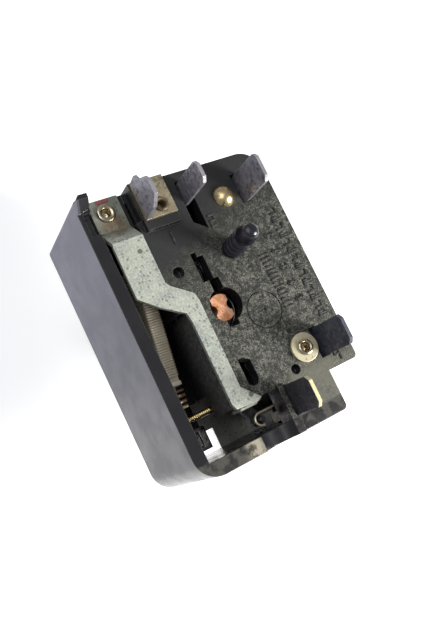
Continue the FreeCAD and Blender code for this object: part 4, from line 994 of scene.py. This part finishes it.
@dataclass
class Terminals(SubAssembly):
    """Five blades with their rivets, eyelet and washer, and the black plug."""

    plug_ribs: int = 3
    rib_step: float = 1.55

    def plug(self) -> Piece:
        """Returns the ribbed black plug that stands in the terminal face."""
        foot = FACE_Z
        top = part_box("ribbed_post")[1].z / MM - 0.02
        rings = [(1.45, foot - 3.2), (1.45, foot), (2.1, foot + 0.02), (2.2, foot + 0.5), (2.05, foot + 1.1)]
        for rib in range(self.plug_ribs):
            z = foot + 1.2 + rib * self.rib_step
            rings += [(1.72, z + 0.12), (1.74, z + 0.42), (2.18, z + 0.66), (2.24, z + 1.05), (2.1, z + 1.38)]
        z = foot + 1.2 + self.plug_ribs * self.rib_step
        rings += [(1.62, z + 0.2), (1.6, z + 0.8), (2.12, z + 1.15), (2.26, z + 1.8), (2.1, z + 2.5)]
        rings += [(1.85, top - 1.3), (1.55, top - 0.5), (0.9, top - 0.06), (0.3, top)]
        made = Bench.turned("ribbed_plug", rings, 28, Bench.middle("ribbed_post"))
        Bench.modifier(made, "SUBSURF", levels=1, render_levels=1)
        Bench.smooth(made, 60.0)
        return made

    def eyelet(self, name: str, node: str, tube: float, flange: float, seat: float) -> Piece:
        """Returns a hollow eyelet with a rolled lip.

        Args:
            name: the piece's name.
            node: the CAD eyelet that it stands for.
            tube: outer radius of the tube.
            flange: outer radius of the rolled lip.
            seat: height of the face under the lip.
        """
        low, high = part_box(node)
        lip = high.z / MM - seat
        bore = tube - 0.32
        rings = [(tube, low.z / MM), (tube, seat), (flange - 0.12, seat + 0.01), (flange, seat + lip * 0.35)]
        rings += [(flange - 0.08, seat + lip * 0.72), (flange - 0.28, seat + lip * 0.96)]
        rings += [(flange - 0.5, seat + lip)]
        rings += [(bore + 0.16, seat + lip * 0.82), (bore + 0.04, seat + lip * 0.5), (bore, seat - 0.2)]
        rings += [(bore, seat - 1.5), (bore * 0.9, seat - 1.6), (bore * 0.25, seat - 1.62)]
        made = Bench.turned(name, rings, 36, Bench.middle(node))
        Bench.smooth(made, 50.0)
        return made

    def build(self) -> None:
        """Dresses the CAD blades and builds what needs a finer shape."""
        self.dress_nodes(terminal_1=TAN_TAB, terminal_2=TINNED_TAB, terminal_3=TINNED_TAB,
                         terminal_4=DARK_TAB, terminal_5=BRASS_TIP_TAB, terminal_3_rivet=DOME_BRASS,
                         terminal_4_washer=STRAW)
        self.settle(self.plug(), NYLON, "case", "black_nylon", "ribbed_post")
        eyelets = (("rolled_eyelet_4", "terminal_4_eyelet", 1.2, 1.75, 26.3, NICKEL),
                   ("rolled_eyelet_strap", "carrier_eyelet", 1.2, 1.95, 23.0, NICKEL),
                   ("rolled_eyelet_1", "terminal_1_rivet", 1.1, 1.6, 27.8, BROWNED))
        for name, node, tube, flange, seat, finish in eyelets:
            self.settle(self.eyelet(name, node, tube, flange, seat), finish, "case", "nickel_eyelet", node)


@dataclass
class StrapAndBimetal(SubAssembly):
    """Zinc strap, bimetal with its wound sleeve, adjuster and stop."""

    root: tuple[float, float] = (-12.0, 21.1)
    tip: tuple[float, float] = (-15.0, -18.3)
    low_edge: tuple[float, float] = (7.0, 11.3)
    high_edge: tuple[float, float] = (23.3, 15.4)
    sleeve: tuple[float, float] = (6.5, 31.5)
    half_thick: float = 1.32
    skin: float = 0.92
    ribbon: tuple[float, float] = (0.40, 0.26)
    pitch: float = 0.52
    slant: float = 7.0
    tail: tuple[float, float] = (32.3, 36.4)
    tail_pitch: float = 0.56
    adjuster_y: float = -17.5
    adjuster_z: float = 13.0
    thread_pitch: float = 0.45
    stop_thick: float = 0.8
    stop_riser: float = 3.6
    stop_hook: float = 1.3
    dab_x: tuple[float, float] = (-15.2, -12.4)
    dab_z: tuple[float, float] = (23.0, 23.10)
    dab_deep: float = 0.85

    def length(self) -> float:
        """Returns the strip's length."""
        return math.dist(self.root, self.tip)

    def edges_at(self, along: float) -> tuple[float, float]:
        """Returns the strip's low and high edge at a distance from its root."""
        share = along / self.length()
        low = self.low_edge[0] + (self.low_edge[1] - self.low_edge[0]) * share
        return low, self.high_edge[0] + (self.high_edge[1] - self.high_edge[0]) * share

    def station(self, along: float, tilt: float) -> Matrix:
        """Returns the matrix that puts a loop drawn round the origin on the strip."""
        dx = self.tip[0] - self.root[0]
        dy = self.tip[1] - self.root[1]
        share = along / self.length()
        low, high = self.edges_at(along)
        centre = Vector((self.root[0] + dx * share, self.root[1] + dy * share, (low + high) / 2)) * MM
        yaw = Matrix.Rotation(math.atan2(-dx, dy) + math.pi, 4, "Z")
        return Matrix.Translation(centre) @ yaw @ Matrix.Rotation(math.radians(tilt), 4, "X")

    def loop(self, name: str, width: float, thick: float) -> Piece:
        """Returns one band of unit height with rounded corners, open along Y."""
        half = self.half_thick + thick
        made = Bench.block(name, (-half, -width / 2, -0.5), (half, width / 2, 0.5))
        Bench.pick(made, lambda at, way: abs(way.y) > 0.9)
        bpy.ops.mesh.delete(type="ONLY_FACE")
        Bench.clear()
        return made

    def wound_band(self, name: str, along: float, width: float, thick: float, tilt: float) -> Piece:
        """Returns a band of the right height round the strip at a distance from its root."""
        low, high = self.edges_at(along)
        tall = (high - low) / math.cos(math.radians(tilt)) + 2 * (self.skin + thick)
        made = self.loop(name, width, thick)
        made.data.transform(Matrix.Diagonal((1.0, 1.0, tall, 1.0)))
        Bench.pick(made, lambda at, way: abs(way.y) > 0.9, "EDGE")
        bpy.ops.mesh.bevel(offset=0.55 * MM, segments=4)
        Bench.clear()
        Bench.modifier(made, "SOLIDIFY", thickness=thick * MM, offset=-1.0)
        Bench.modifier(made, "BEVEL", width=0.09 * MM, segments=2, limit_method="ANGLE",
                       angle_limit=math.radians(50))
        made.data.transform(self.station(along, tilt))
        return made

    def turns(self, name: str, first: float, count: int, pitch: float, size: tuple[float, float],
              slants: tuple[float, float]) -> Piece:
        """Returns bands round the strip, one to a turn.

        Args:
            name: the piece's name.
            first: the first band's distance from the strip's root.
            count: how many there are.
            pitch: the distance from one to the next.
            size: a band's width and thickness.
            slants: the tilts that they have in turn, in degrees.
        """
        bands = [self.wound_band("turn", first + turn * pitch, *size, slants[turn % 2])
                 for turn in range(count)]
        made = Bench.join(name, bands)
        Bench.smooth(made, 50.0)
        return made

    def winding(self) -> Piece:
        """Returns the heater ribbon round the sleeve."""
        first, last = self.sleeve
        count = int((last - first - 4.0) / self.pitch)
        return self.turns("wound_ribbon", first + 2.0, count, self.pitch, self.ribbon, (self.slant, self.slant))

    def end_turns(self) -> Piece:
        """Returns the heater's browned end turns, round the strip past the sleeve."""
        first, last = self.tail
        count = int((last - first) / self.tail_pitch)
        return self.turns("end_turns", first, count, self.tail_pitch, (0.5, 0.4), (4.0, 10.0))

    def adjuster(self) -> Piece:
        """Returns the slotted brass screw with its thread as grooves."""
        low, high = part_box("calibration_screw")
        start = low.x / MM
        run = high.x / MM - start
        rings = [(1.12, 0.0), (1.3, 0.12), (1.3, 0.68), (1.15, 0.8), (0.74, 0.82)]
        pitch = self.thread_pitch
        for turn in range(int((run - 2.4) / pitch)):
            z = 1.0 + turn * pitch
            rings += [(0.62, z), (0.74, z + pitch * 0.42), (0.74, z + pitch * 0.6)]
        rings += [(0.62, run - 1.1), (0.60, run - 0.8), (0.32, run - 0.05), (0.2, run)]
        made = Bench.turned("threaded_adjuster", rings, 20, (start, self.adjuster_y, self.adjuster_z),
                            Axis.ALONG_X)
        cutter = Bench.block("slot", (start - 0.5, self.adjuster_y - 0.18, self.adjuster_z - 2.0),
                             (start + 0.35, self.adjuster_y + 0.18, self.adjuster_z + 2.0))
        Bench.modifier(made, "BOOLEAN", operation="DIFFERENCE", object=cutter, solver="EXACT")
        bpy.data.objects.remove(cutter)
        Bench.smooth(made, 40.0)
        return made

    def stop(self) -> Piece:
        """Returns the bent stop bracket with rounded bends and a dimple in its shelf."""
        low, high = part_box("stop_bracket")
        x0, y0, z0 = (value / MM for value in low)
        x1, y1, z1 = (value / MM for value in high)
        thick = self.stop_thick
        riser = x0 + self.stop_riser
        made = Bench.block("bent_stop", (x0, y0, z0), (riser, y1, z0 + thick))
        Bench.pick(made, lambda at, way: way.x > 0.9)
        Bench.extrude((thick, 0.0, 0.0))
        Bench.pick(made, lambda at, way: way.z > 0.9 and at.x > riser)
        Bench.extrude((0.0, 0.0, z1 - z0 - 2 * thick), (0.0, 0.0, thick))
        Bench.pick(made, lambda at, way: way.x > 0.9 and at.z > z1 - thick)
        Bench.extrude((x1 - riser - 2 * thick, 0.0, 0.0), (thick, 0.0, 0.0))
        Bench.pick(made, lambda at, way: way.z < -0.9 and at.x > x1 - thick)
        Bench.extrude((0.0, 0.0, -self.stop_hook))
        Bench.pick(made, lambda at, way: way.z > 0.9 and at.z > z1 - 0.1 and at.x < x1 - thick)
        bpy.ops.mesh.inset(thickness=0.8 * MM, depth=0.0)
        bpy.ops.mesh.inset(thickness=0.25 * MM, depth=-0.35 * MM)
        Bench.clear()
        Bench.modifier(made, "BEVEL", width=0.28 * MM, segments=3, limit_method="ANGLE",
                       angle_limit=math.radians(60))
        Bench.smooth(made, 35.0)
        return made

    def paint_dab(self) -> Piece:
        """Returns the thin uneven dab of red paint on the pad's far edge."""
        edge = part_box("carrier_strap")[1].y / MM - 0.05
        (x0, x1), (z0, z1) = self.dab_x, self.dab_z
        made = Bench.block("paint_dab", (x0, edge - self.dab_deep, z0), (x1, edge, z1))
        Bench.pick(made, lambda at, way: True)
        bpy.ops.mesh.subdivide(number_cuts=5, fractal=0.25, seed=4)
        Bench.clear()
        Bench.modifier(made, "SUBSURF", levels=1, render_levels=1)
        Bench.smooth(made, 80.0)
        return made

    def build(self) -> None:
        """Dresses the strap and the strip, and builds winding, bands, adjuster, stop and paint."""
        self.dress_nodes(carrier_strap=ZINC_STRAP, bimetal_foot=PLATE_STEEL, bimetal_strip=BIMETAL,
                         insulation_sleeve=SLEEVE)
        self.settle(self.winding(), RIBBON, "bimetal", "resistance_ribbon", "heater_winding")
        first, last = self.sleeve
        for name, along in (("sleeve_band_tip", last - 0.45), ("sleeve_band_root", first + 0.55)):
            band = self.wound_band(name, along, 0.9, 0.34, 0.0)
            band.name = band.data.name = name
            Bench.smooth(band, 50.0)
            self.settle(band, END_BAND, "bimetal", "mica_sleeve")
        self.settle(self.end_turns(), LEAD, "bimetal", "resistance_ribbon")
        self.settle(self.adjuster(), BRASS, "calibration", "brass_turned", "calibration_screw")
        self.settle(self.stop(), DULL_CHROME, "case", "bright_steel", "stop_bracket")
        self.settle(self.paint_dab(), RED_PAINT, "case", "zinc_strap")


@dataclass
class ShaftTrain(SubAssembly):
    """Shaft, clip, washer, spring, cam and follower."""

    def build(self) -> None:
        """Dresses the shaft train."""
        self.dress_nodes(control_shaft=SHAFT, retaining_clip=DARK_STEEL, thrust_washer=PLATE_STEEL,
                         shaft_spring=DARK_STEEL, heat_cam=CAM_PLASTIC, cam_follower=PLATE_STEEL,
                         cycling_contact=SILVER)


@dataclass
class Contacts(SubAssembly):
    """Contact arm, line contact and the hooked spring."""

    def build(self) -> None:
        """Dresses the contacts and the spring."""
        # The line arm is near-black steel, as dark as the pocket that it sits in.
        self.dress_nodes(contact_arm=BRONZE, moving_contact=SILVER, line_strap=BRASS,
                         line_fixed_contact=SILVER, line_arm=DARK_STEEL, line_contact=SILVER,
                         hook_spring=STRAW_WIRE, spring_anchor=BRIGHT_STEEL)


# Studio
@dataclass(frozen=True)
class Lamp:
    """A soft area light that points at the part."""

    name: str
    place: Point
    power: float
    size: float
    hue: Colour = (1.0, 1.0, 1.0)

    def build(self, aim: Vector) -> None:
        """Adds the light, turned to aim."""
        data = bpy.data.lights.new(self.name, "AREA")
        data.energy = self.power
        data.size = self.size
        data.color = self.hue
        lamp = bpy.data.objects.new(self.name, data)
        bpy.context.scene.collection.objects.link(lamp)
        lamp.location = self.place
        lamp.rotation_mode = "QUATERNION"
        lamp.rotation_quaternion = (aim - lamp.location).to_track_quat("-Z", "Y")


@dataclass(frozen=True)
class Studio:
    """Pale floor, soft lights and the camera."""

    camera_at: Point = (-68.01, -16.47, 153.7)
    right: Point = (0.8209, -0.4332, 0.3721)
    up: Point = (0.3440, 0.8952, 0.2834)
    back: Point = (-0.4558, -0.1047, 0.8839)
    lens: float = 41.98
    lamps: tuple[Lamp, ...] = (
        Lamp("key", (0.30, -0.26, 0.26), 3.9, 0.18, (1.0, 0.985, 0.96)),
        Lamp("over", (-0.22, 0.16, 0.46), 1.3, 0.45, (0.97, 0.98, 1.0)),
    )
    sky: Colour = (0.93, 0.935, 0.95)
    sky_strength: float = 0.36

    def camera(self) -> None:
        """Adds the camera and makes it the scene's."""
        data = bpy.data.cameras.new("camera")
        data.lens = self.lens
        data.sensor_width = 36.0
        data.clip_start = 0.005
        data.clip_end = 20.0
        camera = bpy.data.objects.new("camera", data)
        bpy.context.scene.collection.objects.link(camera)
        turn = Matrix((self.right, self.up, self.back)).transposed().to_4x4()
        camera.matrix_world = Matrix.Translation(Vector(self.camera_at) * MM) @ turn
        bpy.context.scene.camera = camera

    def floor(self, low: Vector) -> None:
        """Adds the pale floor just under the part."""
        Bench.clear()
        bpy.ops.mesh.primitive_plane_add(size=6.0, location=(0.0, 0.0, low.z - 0.0002))
        floor = bpy.context.object
        floor.name = "floor"
        bpy.ops.object.transform_apply(location=True)
        paint(floor, Ground("floor"))
        floor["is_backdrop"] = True

    def world(self) -> None:
        """Sets an even pale surround."""
        world = bpy.data.worlds.new("surround")
        world.use_nodes = True
        world.node_tree.nodes.clear()
        graph = Graph(world.node_tree)
        sky = graph.add("Background", {"Color": self.sky, "Strength": self.sky_strength})
        graph.add("OutputWorld", {"Surface": sky.outputs[0]})
        bpy.context.scene.world = world
        bpy.context.scene.view_settings.view_transform = "Standard"

    def build(self, low: Vector, high: Vector) -> None:
        """Builds the studio round the part.

        Args:
            low: the part's lowest corner.
            high: its highest corner.
        """
        self.camera()
        self.floor(low)
        self.world()
        for lamp in self.lamps:
            lamp.build((low + high) / 2)
        LOG.info("studio ready with %d lamps", len(self.lamps))


def main() -> None:
    """Loads the frame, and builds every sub-assembly in order."""
    logging.basicConfig(level=logging.INFO, format="%(name)s: %(message)s")
    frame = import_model()
    cad_low, cad_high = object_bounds()
    nodes = frame["nodes"]
    for assembly in (Case(nodes), Terminals(nodes), StrapAndBimetal(nodes), ShaftTrain(nodes), Contacts(nodes)):
        assembly.build()
        LOG.info("%s done", type(assembly).__name__)
    Studio().build(cad_low, cad_high)


if __name__ == "__main__":
    main()
